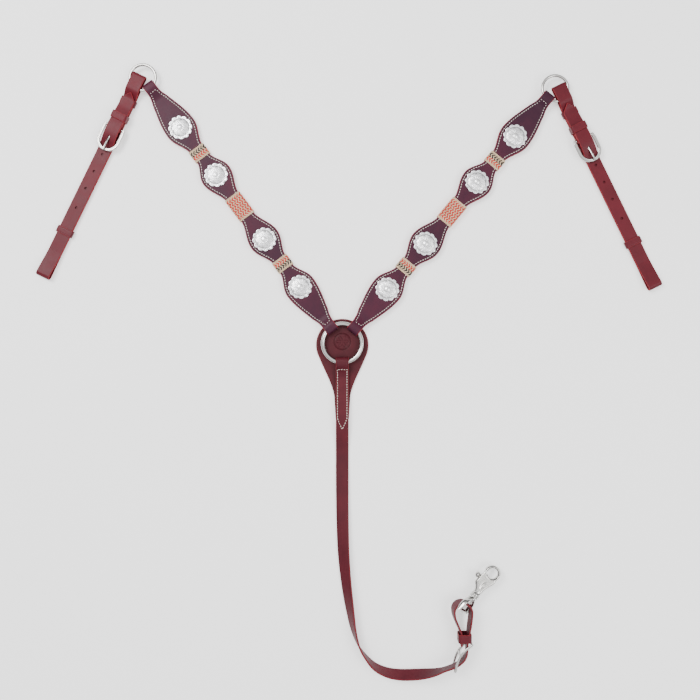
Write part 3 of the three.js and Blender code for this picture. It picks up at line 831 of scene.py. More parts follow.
# %% Screws
def make_screw(side, index, u):
    lay = shoulder_lay[side]
    profile = [(0.01, 1.7), (4.6, 1.7), (5.3, 2.0), (5.5, 2.6), (5.5, 3.0), (2.2, 3.0),
               (2.2, FACE_TOP), (0.01, FACE_TOP)]
    rows = lathe(profile, 32, lambda x, y, z: lay.at(u + x, y, z))
    screw = skin(f"{side}_concho_{index}_screw", rows)
    dress(screw, "nickel", side + "_shoulder", "nickel", f"{side}_concho_screw_{index}")


for side in shoulder_lay:
    for index, (u, _, _) in enumerate(SCALLOPS, 1):
        make_screw(side, index, u)
print("a screw behind each concho")

# %% [markdown]
# ## Rawhide wraps
# Each neck between scallops is wrapped in braided rawhide: cream strands with a chevron row in
# black and one in red on the short wraps, and a herringbone of red and cream on the long one. A
# chevron is two rows of slanted strands leaning opposite ways. A thin core fills what shows between:
# it stands for the strands running underneath, and its dark brown is painted shade in the gaps.

# %% The wrap's outline round the strap
WRAP_HALF = NECK_HALF + 1.1
STRANDS = 13
OUTLINE_POINTS = STRANDS * 8
WRAP_LOW = LINING_LOW - 1.0
WRAP_HIGH = FACE_TOP + 1.0


def wrap_outline(lay, u, grow=0.0):
    """A rounded outline round the strap at u, with the outward direction at each point."""
    corner = 2.4 + grow
    half, low, high = WRAP_HALF + grow, WRAP_LOW - grow, WRAP_HIGH + grow
    flat = half - corner
    parts = [arc(flat, high - corner, corner, 90, 0, 6), arc(flat, low + corner, corner, 0, -90, 6),
             arc(-flat, low + corner, corner, -90, -180, 6), arc(-flat, high - corner, corner, 180, 90, 6)]
    outline = np.vstack([*parts, parts[0][:1]])
    around = np.linalg.norm(np.diff(outline, axis=0), axis=1).sum()
    outline = even(outline, around / OUTLINE_POINTS)[:-1]
    ahead = directions(outline, True)
    out = np.stack([-ahead[:, 1], ahead[:, 0]], axis=1)
    points = np.array([lay.at(u, v, z) for v, z in outline])
    facing = out[:, :1] * lay.across + out[:, 1:] * lay.up
    return points, facing


# %% [markdown]
# ## Braid
# Real strands go over and under each other. Weaving them would take many curves that can't be seen
# from a step away, so slanted pieces in rows stand for the part of each strand that shows, with
# cream strands between the coloured ones.

# %% Braid rows
def braid_rows(index, length):
    """(offset along the strap, colour of the first strand, lean) for each row of slanted strands."""
    if index == 1:
        return [(-5.1, "black", 1), (-1.7, "black", -1), (1.7, "red", 1), (5.1, "red", -1)]
    if index == 3:
        return [(-5.1, "red", -1), (-1.7, "red", 1), (1.7, "black", -1), (5.1, "black", 1)]
    rows = 10
    pitch = (length - 5.0) / rows
    return [((k - (rows - 1) / 2) * pitch, "red", 1 if k % 2 else -1) for k in range(rows)]


def make_wrap(side, index, u, length):
    lay, body = shoulder_lay[side], side + "_shoulder"
    name = f"{side}_wrap_{index}"
    rows = []
    for step in np.linspace(-length / 2 + 0.6, length / 2 - 0.6, 5):
        rows.append(wrap_outline(lay, u + step, -0.45)[0])
    first, last = [row + (row.mean(axis=0) - row) * 0.08 for row in (rows[0], rows[-1])]
    rows = [first, *rows, last]
    # The core stands for the strands running underneath; its colour is painted shade in the gaps.
    core = skin(name + "_core", np.array(rows))
    dress(core, "core", body, "rawhide", f"{side}_rawhide_wrap_{index}")
    lines = {"red": [], "black": [], "cream": []}
    for offset, colour, lean in braid_rows(index, length):
        points, facing = wrap_outline(lay, u + offset)
        lines[colour].append((points, facing, lean))
        half_way = OUTLINE_POINTS // STRANDS // 2
        between = [np.roll(values, -half_way, axis=0) for values in (points, facing)]
        lines["cream"].append((*between, lean))
    around = np.linalg.norm(points - np.roll(points, 1, axis=0), axis=1).sum()
    for colour, kinds in lines.items():
        for lean in (1, -1):
            chosen = [(p, f, True) for p, f, way in kinds if way == lean]
            if chosen:
                size = (5.6 * MM, (1.5 if colour == "cream" else 2.2) * MM, 1.15 * MM)
                pitch = around / STRANDS * 0.999
                label = f"{name}_{colour}_{'a' if lean > 0 else 'b'}"
                rows_made = row_of_pieces(label, chosen, colour, pitch, size, lean * math.radians(44))
                dress(rows_made, colour, body, "rawhide")
    borders = []
    for end in (-1, 1):
        for inset in (0.9, 2.3):
            points, facing = wrap_outline(lay, u + end * (length / 2 - inset))
            borders.append((points, facing, True))
    size = (2.9 * MM, 1.35 * MM, 1.2 * MM)
    border = row_of_pieces(name + "_border", borders, "cream", 2.2 * MM, size, math.radians(24))
    dress(border, "cream", body, "rawhide")


for side in shoulder_lay:
    for index, (u, length) in enumerate(WRAPS, 1):
        make_wrap(side, index, u, length)
print("wraps", [length for _, length in WRAPS], "mm long")

# %% [markdown]
# ## Rings
# The rings are welded wire. A sweep round a circle closes on itself, so there is no seam to hide.

# %% Three rings
def make_ring(name, place, radius, wire_r, body, node):
    height = place[2]
    flat_circle = arc(0, 0, radius, 0, 360, 96)[:-1] * MM
    circle = np.array([(place[0] + x, place[1] + y, height) for x, y in flat_circle])
    outward_from = circle - np.array([place[0], place[1], height])
    across = outward_from / np.linalg.norm(outward_from, axis=1)[:, None]
    ring = wire(name, circle, across, wire_r * MM, wire_r * MM, closed=True, sides=24)
    dress(ring, "nickel", body, "nickel", node)


make_ring("breast_ring", centre, RING_R, 3.175, "ring", "centre_ring")
for side, place in ring_at.items():
    make_ring(side + "_shoulder_ring", place, UPPER_R, 2.25, side + "_ring", side + "_upper_ring")
print("rings", 2 * RING_R, "and", 2 * UPPER_R, "mm across the wire's middle")

# %% [markdown]
# ## Tugs
# One long strap makes the whole tug. It starts folded round the buckle's heel bar, runs up over the
# ring, down the back, round the bight at the bottom and up the front, where it goes through the
# buckle and under its keeper. As with the shoulder, that is one path and one sweep. The holes are
# cut afterwards with a Boolean, because a real punch goes through one layer only.

# %% The tug's path
TUG_T = 2.0
TUG_HALF = 10.5
TUG_STEP = 0.9
HEEL_U, HEEL_Z = 84.0, 8.2
UPPER_Z = float(ring_at["left"][2] - TABLE) / MM
BACK = 2.6
FRONT = BACK + TUG_T + 0.3
BIGHT_U, BIGHT_Z, BIGHT_R = 325.0, 5.5, 4.5


def tug_path():
    wrap_r, wrap_u, bar_r = 3.6, 1.8, 3.3
    over, under = UPPER_Z + wrap_r, UPPER_Z - wrap_r
    return even(chain(
        smooth([(62, FRONT), (72, FRONT), (HEEL_U, HEEL_Z - bar_r)]),
        arc(HEEL_U, HEEL_Z, bar_r, -90, 90),
        smooth([(HEEL_U, HEEL_Z + bar_r), (72, 9.4), (61, 7.7), (51, 5.3), (46, FRONT), (35, FRONT)]),
        smooth([(35, FRONT), (31, 7.4), (24, 12.2), (18, over), (wrap_u, over)]),
        arc(wrap_u, UPPER_Z, wrap_r, 90, 270),
        smooth([(wrap_u, under), (16, under), (25, 4.1), (36, BACK)]),
        smooth([(36, BACK), (288, BACK)], 4.0),
        smooth([(288, BACK), (300, 1.9), (312, 1.3), (BIGHT_U, BIGHT_Z - BIGHT_R)]),
        arc(BIGHT_U, BIGHT_Z, BIGHT_R, -90, 90, 18),
        smooth([(BIGHT_U, BIGHT_Z + BIGHT_R), (312, 8.2), (300, 6.1), (288, FRONT)]),
        smooth([(288, FRONT), (136, FRONT)], 4.0),
        smooth([(136, FRONT), (122, 5.1), (113, 6.6), (103, 11.0), (94, 13.3), (HEEL_U, 13.9),
                (74, 13.2), (62, 11.3)]),
        smooth([(62, 11.3), (52, 9.4), (46, 9), (36.5, 9), (32, 10.5), (28, 12.8)])), TUG_STEP)


def tug_halves(path):
    """Full width, cut to a point over the last part of the free end."""
    run = np.concatenate([[0], np.cumsum(np.linalg.norm(np.diff(path, axis=0), axis=1))])
    left = run[-1] - run
    point = np.clip(left / 12.0, 0, 1)
    return TUG_HALF * (0.1 + 0.9 * point) * MM


# %% [markdown]
# ## Punched holes
# The strap has four open holes, a slot at the heel bar and one that the tongue comes through. The
# tools are solids taken away with an exact Boolean, each as deep as the layer that it punches.

# %% Punched holes
HOLES_U = (128, 156, 184, 216)
HOLE_R = 2.1


def punch(piece, lay):
    """Cuts the open holes, the slot at the heel bar and the hole that the tongue comes through."""
    tools = []
    for u in HOLES_U:
        rows = lathe([(HOLE_R, 3.75), (HOLE_R, 7.5)], 28, lambda x, y, z: lay.at(u + x, y, z))
        tools.append(skin("punch", rows))
    slots = ((78.5, 90.0, 3.75, 12.4, 2.1), (99.0, 108.5, 6.0, 15.0, 2.0))
    for low_u, high_u, low_z, high_z, half in slots:
        mid, reach = (low_u + high_u) / 2, (high_u - low_u) / 2
        ends = [(mid + s * (reach - half) + half * math.cos(a), half * math.sin(a))
                for s, first in ((1, -90), (-1, 90))
                for a in np.radians(np.linspace(first, first + 180, 12))]
        rows = np.array([[lay.at(x, y, z) for x, y in ends] for z in (low_z, high_z)])
        tools.append(skin("slot_punch", rows))
    for tool in tools:
        cutter = piece.modifiers.new("punch", "BOOLEAN")
        cutter.object = tool
        cutter.operation = "DIFFERENCE"
        cutter.solver = "EXACT"
    made = finished_mesh(piece)
    piece.modifiers.clear()
    made.set_sharp_from_angle(angle=math.radians(40))
    piece.data = made
    for tool in tools:
        bpy.data.objects.remove(tool)


tug_route = tug_path()
for side, lay in tug_lay.items():
    route, halves = lay.route(tug_route), tug_halves(tug_route)
    tug = strap(side + "_tug", route, lay.across, halves, TUG_T * MM, crease=1.9 * MM)
    punch(tug, lay)
    dress(tug, "tug", side + "_tug", "tug_leather", side + "_tug_strap")
    print(side, "tug strap is", round(len(tug_route) * TUG_STEP), "mm long before folding")

# %% [markdown]
# ## Buckles
# The frame is a horseshoe of half-round bar with a groove rolled along it, open at the heel, where a
# straight bar holds the strap. The tongue is bent wire, curled round that bar and tapered.

# %% Frame and tongue
def make_buckle(side):
    lay, body = tug_lay[side], side + "_tug"
    bow = chain(smooth([(82.6, -14.6), (92, -15.1), (104.5, -15)]), arc(104.5, 0, 15, -90, 90, 30),
                smooth([(104.5, 15), (92, 15.1), (82.6, 14.6)]))
    points = np.array([lay.at(u, v, 9.6) for u, v in even(bow, 1.0)])
    across = np.cross(np.array([0, 0, 1.0]), directions(points))
    ends = np.minimum(np.arange(len(points)), np.arange(len(points))[::-1])
    taper = 0.72 + 0.28 * np.clip(ends / 6, 0, 1)
    wide, tall = 2.5 * MM * taper, 2.0 * MM * taper
    frame_piece = wire(side + "_buckle_bow", points, across, wide, tall, sides=28, groove=0.34)
    dress(frame_piece, "nickel", body, "nickel", side + "_buckle_frame")
    bar_points = np.array([lay.at(HEEL_U, v, HEEL_Z) for v in np.linspace(-15.5, 15.5, 12)])
    bar = wire(side + "_buckle_bar", bar_points, lay.up, 2.0 * MM, 2.0 * MM)
    dress(bar, "nickel", body, "nickel")
    shank = smooth([(86, 11.2), (94, 10.9), (100, 11.1), (108, 12.6), (117, 14.0), (121.2, 14.1)])
    path = chain(arc(HEEL_U, HEEL_Z, 3.45, 320, 80, 20), shank)
    path = even(path, 0.8)
    share = np.linspace(0, 1, len(path))
    thick = (1.1 + 0.25 * np.sin(share * math.pi)) * MM
    wide = (1.6 - 0.35 * np.clip((share - 0.5) * 2, 0, 1)) * MM
    tongue = wire(side + "_tongue_wire", lay.route(path), lay.across, wide, thick, sides=18)
    dress(tongue, "nickel", side + "_tongue", "nickel", side + "_buckle_tongue")


for side in tug_lay:
    make_buckle(side)
print("a buckle and tongue on each tug")

# %% [markdown]
# ## Keepers
# A keeper is a short strip of leather sewn into a loop. It is a strap swept round a rounded box.

# %% Leather loops
def keeper_outline(half, low, high, corner):
    flat_v, flat_low, flat_high = half - corner, low + corner, high - corner
    outline = np.vstack([
        arc(flat_v, flat_high, corner, 90, 0, 5), arc(flat_v, flat_low, corner, 0, -90, 5),
        arc(-flat_v, flat_low, corner, -90, -180, 5), arc(-flat_v, flat_high, corner, 180, 90, 5)])
    return even(np.vstack([outline, outline[:1]]), 0.7)[:-1]


def make_keeper(name, lay, u, width, half, low, high, look, body, slot, node, corner=1.3):
    points = np.array([lay.at(u, v, z) for v, z in keeper_outline(half, low, high, corner)])
    keeper = strap(name, points, -lay.along, width / 2 * MM, 1.4 * MM, closed=True, crease=1.7 * MM)
    dress(keeper, look, body, slot, node)


KEEPER_HALF = TUG_HALF + 1.0
for side, lay in tug_lay.items():
    make_keeper(side + "_chape_loop", lay, 41, 10, KEEPER_HALF, 0.72, 6.85, "tug", side + "_tug",
                "tug_leather", side + "_chape_keeper")
    make_keeper(side + "_buckle_loop", lay, 67, 10.5, KEEPER_HALF, 0.72, 15.3, "tug", side + "_tug",
                "tug_leather", side + "_buckle_keeper", 2.2)
    make_keeper(side + "_free_loop", lay, 255, 10.5, KEEPER_HALF + 0.5, 0.72, 6.85, "tug", side + "_keeper",
                "tug_leather", side + "_sliding_keeper")
print("three loops on each tug,", 2 * KEEPER_HALF, "mm wide or a little more")

# %% [markdown]
# ## Shield
# The teardrop shield lies behind the ring. A polar grid from the middle of its stamped rosette
# reaches the outline, so that the stamp can be fine while the rest stays light. The stamp is a
# double ring round a plain six-petal flower.

# %% Shield outline
SHIELD_T = 3.0
STAMP_Y = 2.5
STAMP_R = 12.4
FINE_R = 15


def bezier(a, b, c, d, steps=16):
    t = np.linspace(0, 1, steps)[:, None]
    a, b, c, d = (np.array(p, float) for p in (a, b, c, d))
    return (1 - t) ** 3 * a + 3 * (1 - t) ** 2 * t * b + 3 * (1 - t) * t * t * c + t**3 * d


def shield_outline():
    start = math.radians(-28)
    shoulder_point = (39 * math.cos(start), -2.7 + 39 * math.sin(start))
    right = bezier((12, -78), (15, -60), (26, -42), shoulder_point)
    tail = np.array([(0, -128), (5.5, -121), (10, -112)])
    half = chain(tail, right, arc(0, -2.7, 39, -28, 90, 40))
    other = half[::-1].copy()
    other[:, 0] *= -1
    return even(chain(half, other), 0.8)[:-1]


# %% [markdown]
# ## Shield surface
# A stamp presses lines into damp leather and darkens them. An image could displace the surface, but
# a formula for the depth needs no image and gives real geometry. The same depth is stored in the
# `stamped` attribute, which the leather finish darkens.

# %% Shield surface
def stamp_depth(r, a):
    ring = math.exp(-((r - STAMP_R) / 0.4) ** 2) + 0.7 * math.exp(-((r - STAMP_R + 1.5) / 0.3) ** 2)
    petal = 9.2 * abs(math.cos(3 * a)) ** 0.7
    line = math.exp(-((r - petal) / 0.45) ** 2) if r > 1.2 else 0.0
    return min(1.0, ring + (0.8 * line if r < 9.8 else 0.0)), 0.12 if r < STAMP_R - 2 else 0.0


def make_shield():
    outline = shield_outline()
    spokes = 300
    angles = np.arctan2(outline[:, 1] - STAMP_Y, outline[:, 0])
    reach = np.hypot(outline[:, 0], outline[:, 1] - STAMP_Y)
    order = np.argsort(angles)
    angles, reach = angles[order], reach[order]
    rays = np.linspace(-math.pi, math.pi, spokes, endpoint=False)
    fine = np.sort(np.concatenate([rays, np.linspace(-math.pi / 2 - 0.16, -math.pi / 2 + 0.16, 60)]))
    edge = np.interp(fine, angles, reach, period=2 * math.pi)
    rows, cuts, stamped = [], [], []
    inner = np.linspace(0.02, FINE_R, 46)
    corner = SHIELD_T * 0.45
    for r in inner:
        depths = [stamp_depth(r, a) for a in fine]
        tops = [SHIELD_T - 0.5 * sum(d) for d in depths]
        rows.append([(r * math.cos(a), r * math.sin(a), top) for a, top in zip(fine, tops)])
        stamped += [d[0] for d in depths]
        cuts.append([0.0] * len(fine))
    for share in np.linspace(0.1, 1, 10):
        radii = FINE_R + (edge - corner - FINE_R) * share
        rows.append([(r * math.cos(a), r * math.sin(a), SHIELD_T) for a, r in zip(fine, radii)])
        cuts.append([0.0] * len(fine))
    for turn in np.radians(np.linspace(75, -75, 6)):
        out, lift = corner * math.cos(turn), SHIELD_T / 2 * math.sin(turn)
        radii = edge - corner + out
        rows.append([(r * math.cos(a), r * math.sin(a), SHIELD_T / 2 + lift) for a, r in zip(fine, radii)])
        cuts.append([1.0] * len(fine))
    rows.append([((e - corner) * math.cos(a), (e - corner) * math.sin(a), 0.0) for a, e in zip(fine, edge)])
    cuts.append([0.0] * len(fine))
    rows.append([(0.02 * math.cos(a), 0.02 * math.sin(a), 0.0) for a in fine])
    cuts.append([0.0] * len(fine))
    points = np.array([[chest_lay.at(x, y + STAMP_Y, z) for x, y, z in row] for row in rows])
    cut = np.array(cuts)
    shield = skin("shield", points, cut=cut)
    shield.data.attributes["cut"].data[len(shield.data.vertices) - 1].value = 0.0
    shield.data.attributes["cut"].data[len(shield.data.vertices) - 2].value = 0.0
    stamped += [0.0] * (len(shield.data.vertices) - len(stamped))
    shield.data.attributes.new("stamped", "FLOAT", "POINT").data.foreach_set("value", stamped)
    dress(shield, "shield", "tie_down", "strap_leather", "chest_shield")


make_shield()
print("stamped ring", 2 * STAMP_R, "mm across")

# %% [markdown]
# ## Tie-down strap
# The tie-down is folded round the bottom of the ring and stitched to itself over the shield's tail.
# It leaves flat, slowly rolls onto its edge, swings round on the table, weaves through the conway
# buckle and turns back round the snap's bar. Its width direction turns with it, so the sweep takes
# one direction for each point of the path.

# %% The tie-down's path
TIE_T = 2.6
TIE_HALF = 9.5
TIE_END_Z = 16.2
TIE_STEP = 1.5
TIE_LOW = SHIELD_T + 0.3 + TIE_T / 2
TIE_HIGH = TIE_LOW + TIE_T + 0.3
TIE_RUN = [
    (0, -60, 0), (0, -120, 0), (0, -160, 3), (0, -210, 8), (0.5, -260, 16), (2, -310, 26), (6, -355, 38),
    (11, -391, 50), (17.5, -427, 68), (25, -449, 82), (34, -463, 92), (48, -478, 106), (66, -487, 118),
    (84, -490.5, 126), (102, -490.5, 128), (120, -488, 120), (136, -484.5, 104), (147, -481.2, 92),
]
TIE_END = [
    (156, -478.2), (162, -476), (171, -471.5), (179.5, -463.5), (182.8, -455), (183.2, -445),
    (184.5, -434), (186.6, -418), (188.6, -404), (189.4, -395),
]
TIE_RETURN = [(163.4, -393.6), (164.4, -401), (169, -413), (174, -425), (175, -434), (175, -444)]


def run_height(x, y, roll):
    """Lying height of the strap's middle for its roll, lifted towards the buckle end."""
    if y > -140 and x < 1:
        return TIE_HIGH
    turned = math.radians(roll)
    lying = TIE_HALF * math.sin(turned) + TIE_T / 2 * abs(math.cos(turned))
    share = np.clip((x - 90) / 56, 0, 1)
    return lying + share * share * (3 - 2 * share) * (TIE_END_Z - TIE_HALF) + 0.05


def tie_path():
    sag = RING_R - math.sqrt(RING_R**2 - TIE_HALF**2)
    bend, r = -RING_R + sag, 4.1 + TIE_T / 2
    under = smooth([(-118, TIE_LOW), (-60, TIE_LOW), (bend, TIE_LOW)])
    over = smooth([(bend, TIE_LOW + 2 * r), (-33, TIE_LOW + 2 * r - 0.6), (-42, TIE_HIGH + 2.2),
                   (-50, TIE_HIGH), (-58, TIE_HIGH)])
    fold = chain(under, arc(bend, TIE_LOW + r, r, -90, 90), over)
    fold = np.array([(0, y, z, 0) for y, z in fold])
    run = smooth([(x, y, run_height(x, y, roll), roll) for x, y, roll in TIE_RUN], 3.0)
    round_bar = arc(176.4, -393.6, 13, 4, 180, 26)
    end = np.vstack([smooth([TIE_RUN[-1][:2], *TIE_END]), round_bar, smooth(TIE_RETURN)])
    end = np.array([(x, y, TIE_END_Z, 90) for x, y in end[1:]])
    return chain(fold, run, end)


LOOP_LEAN = np.array([0.77, -0.64, 0.0])


def tie_across(points, roll):
    ahead = directions(points)
    across = np.empty_like(points)
    for i, (t, turned) in enumerate(zip(ahead, np.radians(roll))):
        level = np.array([-t[1], t[0], 0.0])
        flat = np.array([1.0, 0, 0]) if points[i][1] > -60 * MM and abs(turned) < 0.01 else level
        side = flat / max(np.linalg.norm(flat), 1e-9)
        w = side * math.cos(turned) + np.array([0, 0, 1.0]) * math.sin(turned)
        w = w - t * np.dot(w, t)
        across[i] = w / np.linalg.norm(w)
    x, y = points[:, 0] / MM, points[:, 1] / MM
    lean = np.clip((y + 440) / 25, 0, 1) * (x > 150) * 0.2
    return across + LOOP_LEAN * lean[:, None]


tie_route = even(tie_path(), TIE_STEP)
tie_points = np.array([chest_lay.at(x, y, z) for x, y, z, _ in tie_route])
local = tie_route[:, :3] * MM
facing = tie_across(local, tie_route[:, 3])
tie = strap("tie_down", tie_points, facing, TIE_HALF * MM, TIE_T * MM, crease=2.0 * MM)
dress(tie, "tie", "tie_down", "strap_leather", "tie_down_strap")
print("tie-down strap is", round(len(tie_route) * TIE_STEP), "mm long before folding")

# %% [markdown]
# ## Tie-down seam
# One seam holds the fold, straight across near the ring and pointed at the tail. The row tree makes
# it, at the height of the strap's top, which is read back from the path.

# %% Tie-down seam
fold_part = tie_route[(tie_route[:, 1] > -135) & (tie_route[:, 2] > TIE_LOW + 2) & (tie_route[:, 0] < 1)]
fold_part = fold_part[np.argsort(fold_part[:, 1])]


def tie_top(y):
    return float(np.interp(y, fold_part[:, 1], fold_part[:, 2])) + TIE_T / 2 + 0.1


def tie_seam():
    half, top, vee, tip = 7.0, -39.0, -113.0, -127.5
    edge = [(half, y) for y in np.arange(top, vee, -2.0)]
    edge += [(x, vee + (half - x) / half * (tip - vee)) for x in (5, 3, 1)]
    outline = edge + [(0, tip)] + [(-x, y) for x, y in reversed(edge)]
    points = np.array([chest_lay.at(x, y, tie_top(y)) for x, y in outline])
    seam = row_of_pieces("tie_down_seam", [(points, (0, 0, 1), True)], "thread", STITCH_GAP, STITCH)
    dress(seam, "thread", "tie_down", "thread")


tie_seam()
print("fold stitched every", round(STITCH_GAP / MM, 1), "mm")

# %% [markdown]
# ## Tie-down keeper
# Near the snap a wide loop of leather holds the strap's end back against itself. It is the same
# loop as on the tugs, standing on edge.

# %% Tie-down keeper
TIE_KEEPER = (179.8, -433.0)
keeper_lay = Lay(chest_lay.at(*TIE_KEEPER, 0), (0, 1))
make_keeper("tie_down_loop", keeper_lay, 0.5, 12.4, 9.2, TIE_END_Z - 10.7, TIE_END_Z + 10.7, "tug",
            "tie_down", "strap_leather", "tie_down_keeper", 3.0)


# %% [markdown]
# ## Conway buckle
# A conway buckle is a curved frame with a middle bar. It stands on edge here, so two bowed rails run
# one above the other with three posts between them.

# %% Rails and posts
def make_conway():
    low, high, bulge = np.array([165.2, -479.5]), np.array([189.6, -440.5]), 5.5
    along = high - low
    out = np.array([-along[1], along[0]]) / np.linalg.norm(along)
    bow = [low + along * t + out * bulge * math.sin(math.pi * t) for t in np.linspace(0, 1, 33)]
    bottom, top = 1.7, TIE_END_Z + TIE_HALF + 2.0
    pieces = []
    for height in (bottom, top):
        points = np.array([chest_lay.at(x, y, height) for x, y in bow])
        across = np.cross(np.array([0, 0, 1.0]), directions(points))
        pieces.append(wire("rail", points, across, 1.7 * MM, 1.5 * MM, groove=0.3))
    for share in (0, 16, 32):
        points = np.array([chest_lay.at(*bow[share], z) for z in np.linspace(bottom, top, 10)])
        pieces.append(wire("post", points, chest_lay.along, 1.6 * MM, 1.6 * MM))
    for index, piece in enumerate(pieces):
        piece.name = f"conway_{'rail' if index < 2 else 'post'}_{index}"
        nodes = ["conway_buckle"] if index == 0 else []
        dress(piece, "nickel", "tie_down", "nickel", *nodes)


make_conway()
print("conway buckle: two rails and three posts")

# %% [markdown]
# ## The snap
# The snap is die-cast, so its edges are soft everywhere. Its CAD solids already have the right
# shape. A copy is joined into one skin, remeshed into small cells and smoothed, which rounds every
# edge as casting and tumbling do. A long flute is cut in the body first.

# %% Cast copies of the snap's solids
def cast(node, name, look, body, voxel, passes, cutters=()):
    piece = placed(name, frame["nodes"][node].data.copy())
    weld = piece.modifiers.new("weld", "WELD")
    weld.merge_threshold = 0.00001
    for tool in cutters:
        cut = piece.modifiers.new("flute", "BOOLEAN")
        cut.object, cut.operation, cut.solver = tool, "DIFFERENCE", "EXACT"
    cells = piece.modifiers.new("cells", "REMESH")
    cells.mode, cells.voxel_size, cells.use_smooth_shade = "VOXEL", voxel, True
    soften = piece.modifiers.new("soften", "SMOOTH")
    soften.factor, soften.iterations = 0.5, passes
    made = finished_mesh(piece)
    piece.modifiers.clear()
    piece.data = made
    for tool in cutters:
        bpy.data.objects.remove(tool)
    made.polygons.foreach_set("use_smooth", [True] * len(made.polygons))
    print(name, "has", len(made.polygons), "faces")
    return dress(piece, look, body, "nickel", node)


# %% [markdown]
# ## The snap's directions
# The snap lies at its own angle, so its directions come from its swivel joint, as a strap's come
# from its joints. The body is fluted on both faces, and the bolt is only softened.

# %% The snap's own directions
snap_along = np.array(joints["snap_swivel"]["axis"])
snap_left = np.cross([0, 0, 1.0], snap_along)
snap_left = snap_left / np.linalg.norm(snap_left)
snap_up = np.cross(snap_along, snap_left)
snap_origin = np.array(joints["snap_eye_tilt"]["pos_m"])


def snap_at(x, y, z):
    return snap_origin + (snap_along * x + snap_left * y + snap_up * z) * MM


def flute():
    """A long shallow hollow on each face of the body."""
    tools = []
    for face in (1, -1):
        path = np.array([snap_at(x, 1.0, face * 6.4) for x in np.linspace(37, 56, 14)])
        width = (0.4 + 2.6 * np.sin(np.linspace(0.1, math.pi - 0.1, 14)) ** 0.6) * MM
        tools.append(wire("flute", path, snap_left, width, width * 0.85))
    return tools


cast("snap_body", "snap_casting", "nickel", "snap", 0.36 * MM, 12, flute())
cast("snap_bolt", "snap_bolt_casting", "nickel", "bolt", 0.3 * MM, 4)

# %% [markdown]
# ## Swivel eye
# The swivel eye is a fork of two soft legs that holds the bar in the strap's end and meets in a
# round seat, where the body's rivet turns. It leans over to one side, as it lies on the table.

# %% Swivel eye
EYE_LEAN = math.radians(35)
eye_up = snap_up * math.cos(EYE_LEAN) + snap_left * math.sin(EYE_LEAN)
eye_left = snap_left * math.cos(EYE_LEAN) - snap_up * math.sin(EYE_LEAN)


def eye_at(x, y, z):
    return snap_origin + (snap_along * x + eye_left * y + eye_up * z) * MM


def make_eye():
    turned = [(2.5, 20.4), (5.5, 20.4), (6.1, 21.1), (6.1, 22.4), (5.4, 23.1), (2.5, 23.1)]
    seat_rows = lathe(turned, 40, lambda y, z, x: eye_at(x, y, z))
    seat = skin("eye_seat", seat_rows, closed=True)
    dress(seat, "nickel", "snap_eye", "nickel", "snap_swivel_eye")
    bar_points = np.array([eye_at(0, 0, z) for z in np.linspace(-16.2, 16.2, 16)])
    dress(wire("eye_bar", bar_points, eye_left, 2.2 * MM, 2.2 * MM), "nickel", "snap_eye", "nickel")
    for side, name in ((1, "eye_leg_upper"), (-1, "eye_leg_lower")):
        path = smooth([(-1.6, 15.6), (6, 15.9), (12.5, 15.0), (17.5, 10.8), (20.6, 6.6), (21.7, 3.9)])
        points = np.array([eye_at(x, 0, side * z) for x, z in path])
        share = np.linspace(0, 1, len(points))
        width = (2.6 + 1.5 * np.sin(np.clip(share * 3, 0, 1) * math.pi / 2) - 0.5 * share) * MM
        leg = wire(name, points, eye_left, width, 1.35 * MM, sides=28)
        dress(leg, "nickel", "snap_eye", "nickel")


make_eye()
print("eye leans", round(math.degrees(EYE_LEAN)), "degrees")

# %% [markdown]
# ## Snap spring
# A small coil pushes the bolt shut. A wire swept along a helix makes it. The real coil is squeezed
# when the bolt slides back, which this fixed shape doesn't show.

# %% Snap spring
def make_spring():
    turns, length = 8, 8.4
    angles = np.linspace(0, turns * 2 * math.pi, turns * 20)
    ahead = 41.8 + length * angles / angles[-1]
    coil = zip(ahead, 9.4 + 1.25 * np.cos(angles), 1.25 * np.sin(angles))
    points = np.array([snap_at(x, y, z) for x, y, z in coil])
    spring = wire("bolt_spring", points, snap_along, 0.3 * MM, 0.3 * MM, sides=8)
    dress(spring, "nickel", "snap", "nickel", "snap_spring")


make_spring()
print("spring made")

# %% [markdown]
# ## Table
# The collar lies on a plain pale surface. One large square is enough. It gives off a little light
# of its own, which keeps it pale without stronger lamps that would wash out the leather.

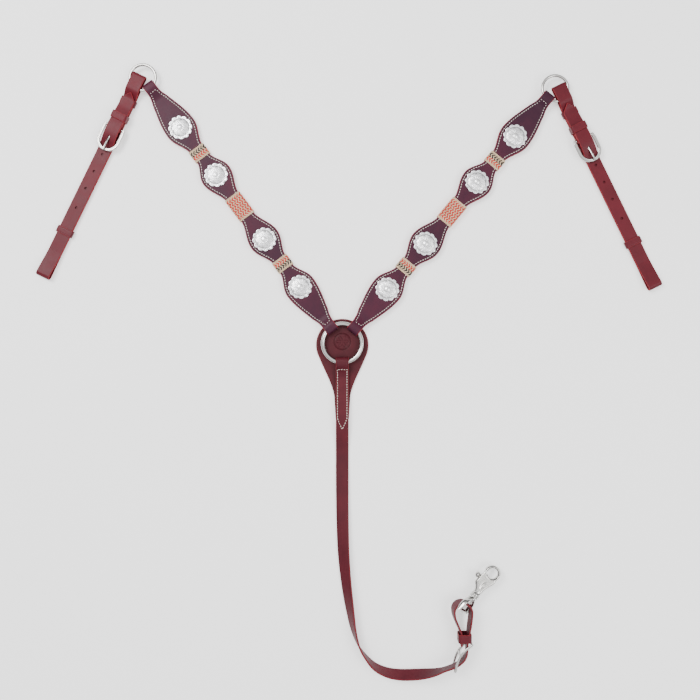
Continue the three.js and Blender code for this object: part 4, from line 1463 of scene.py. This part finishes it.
# %% Table
def make_table():
    size = 6.0
    mesh = bpy.data.meshes.new("table")
    corners = [(-size, -size, 0), (size, -size, 0), (size, size, 0), (-size, size, 0)]
    mesh.from_pydata([(x, y, -0.0002) for x, y, _ in corners], [], [(0, 1, 2, 3)])
    table = placed("table", mesh)
    finish = Finish("table_paint", 0.8)
    cloud = finish.noise(3.0)
    finish.set("Base Color", finish.mix(cloud, (0.88, 0.88, 0.88), (0.92, 0.92, 0.92)))
    finish.set("Emission Color", finish.mix(cloud, (0.98, 0.98, 0.98), (1.0, 1.0, 1.0)))
    finish.shader.inputs["Emission Strength"].default_value = 0.7
    mesh.materials.append(finish.material)


make_table()
print("table laid")


# %% [markdown]
# ## Sky and lights
# Polished metal needs something darker than the lights to reflect, so the sky is bright overhead
# and darker near the horizon. Two wide lamps give soft shadows.

# %% Sky and lights
def make_sky():
    world = bpy.data.worlds.new("studio_sky")
    bpy.context.scene.world = world
    world.use_nodes = True
    nodes, links = world.node_tree.nodes, world.node_tree.links
    back = nodes["Background"]
    coord = nodes.new("ShaderNodeTexCoord")
    split = nodes.new("ShaderNodeSeparateXYZ")
    ramp = nodes.new("ShaderNodeValToRGB")
    ramp.color_ramp.elements[0].position = 0.3
    ramp.color_ramp.elements[0].color = (0.06, 0.062, 0.07, 1)
    ramp.color_ramp.elements[1].position = 0.85
    ramp.color_ramp.elements[1].color = (1, 1, 1, 1)
    links.new(coord.outputs["Generated"], split.inputs["Vector"])
    links.new(split.outputs["Z"], ramp.inputs["Fac"])
    links.new(ramp.outputs["Color"], back.inputs["Color"])
    back.inputs["Strength"].default_value = 1.5


def soft_light(name, place, aim, size, power):
    data = bpy.data.lights.new(name, "AREA")
    data.shape, data.size, data.energy = "SQUARE", size, power
    lamp = placed(name, data)
    lamp.location = place
    lamp.rotation_euler = (Vector(aim) - Vector(place)).to_track_quat("-Z", "Y").to_euler()


make_sky()
soft_light("key", (-1.1, 0.9, 1.9), (0, 0, 0), 1.0, 50)
soft_light("fill", (1.4, -0.5, 1.7), (0, 0, 0), 1.2, 24)
print("sky and two lights")

# %% [markdown]
# ## Camera
# The camera looks straight down, high enough to show the whole collar with little perspective.

# %% Camera
EYE_HEIGHT = 1.3
VIEW_WIDTH = 1.043
lens = 36.0 / (2 * (VIEW_WIDTH / 2) / EYE_HEIGHT)
eye = bpy.data.cameras.new("overhead")
eye.lens, eye.sensor_width = lens, 36.0
camera = placed("overhead", eye)
camera.location = (centre[0] + 0.0115, centre[1] - 0.0101, EYE_HEIGHT)
bpy.context.scene.camera = camera
print("lens", round(lens, 1), "mm, camera at", [round(c, 3) for c in camera.location])
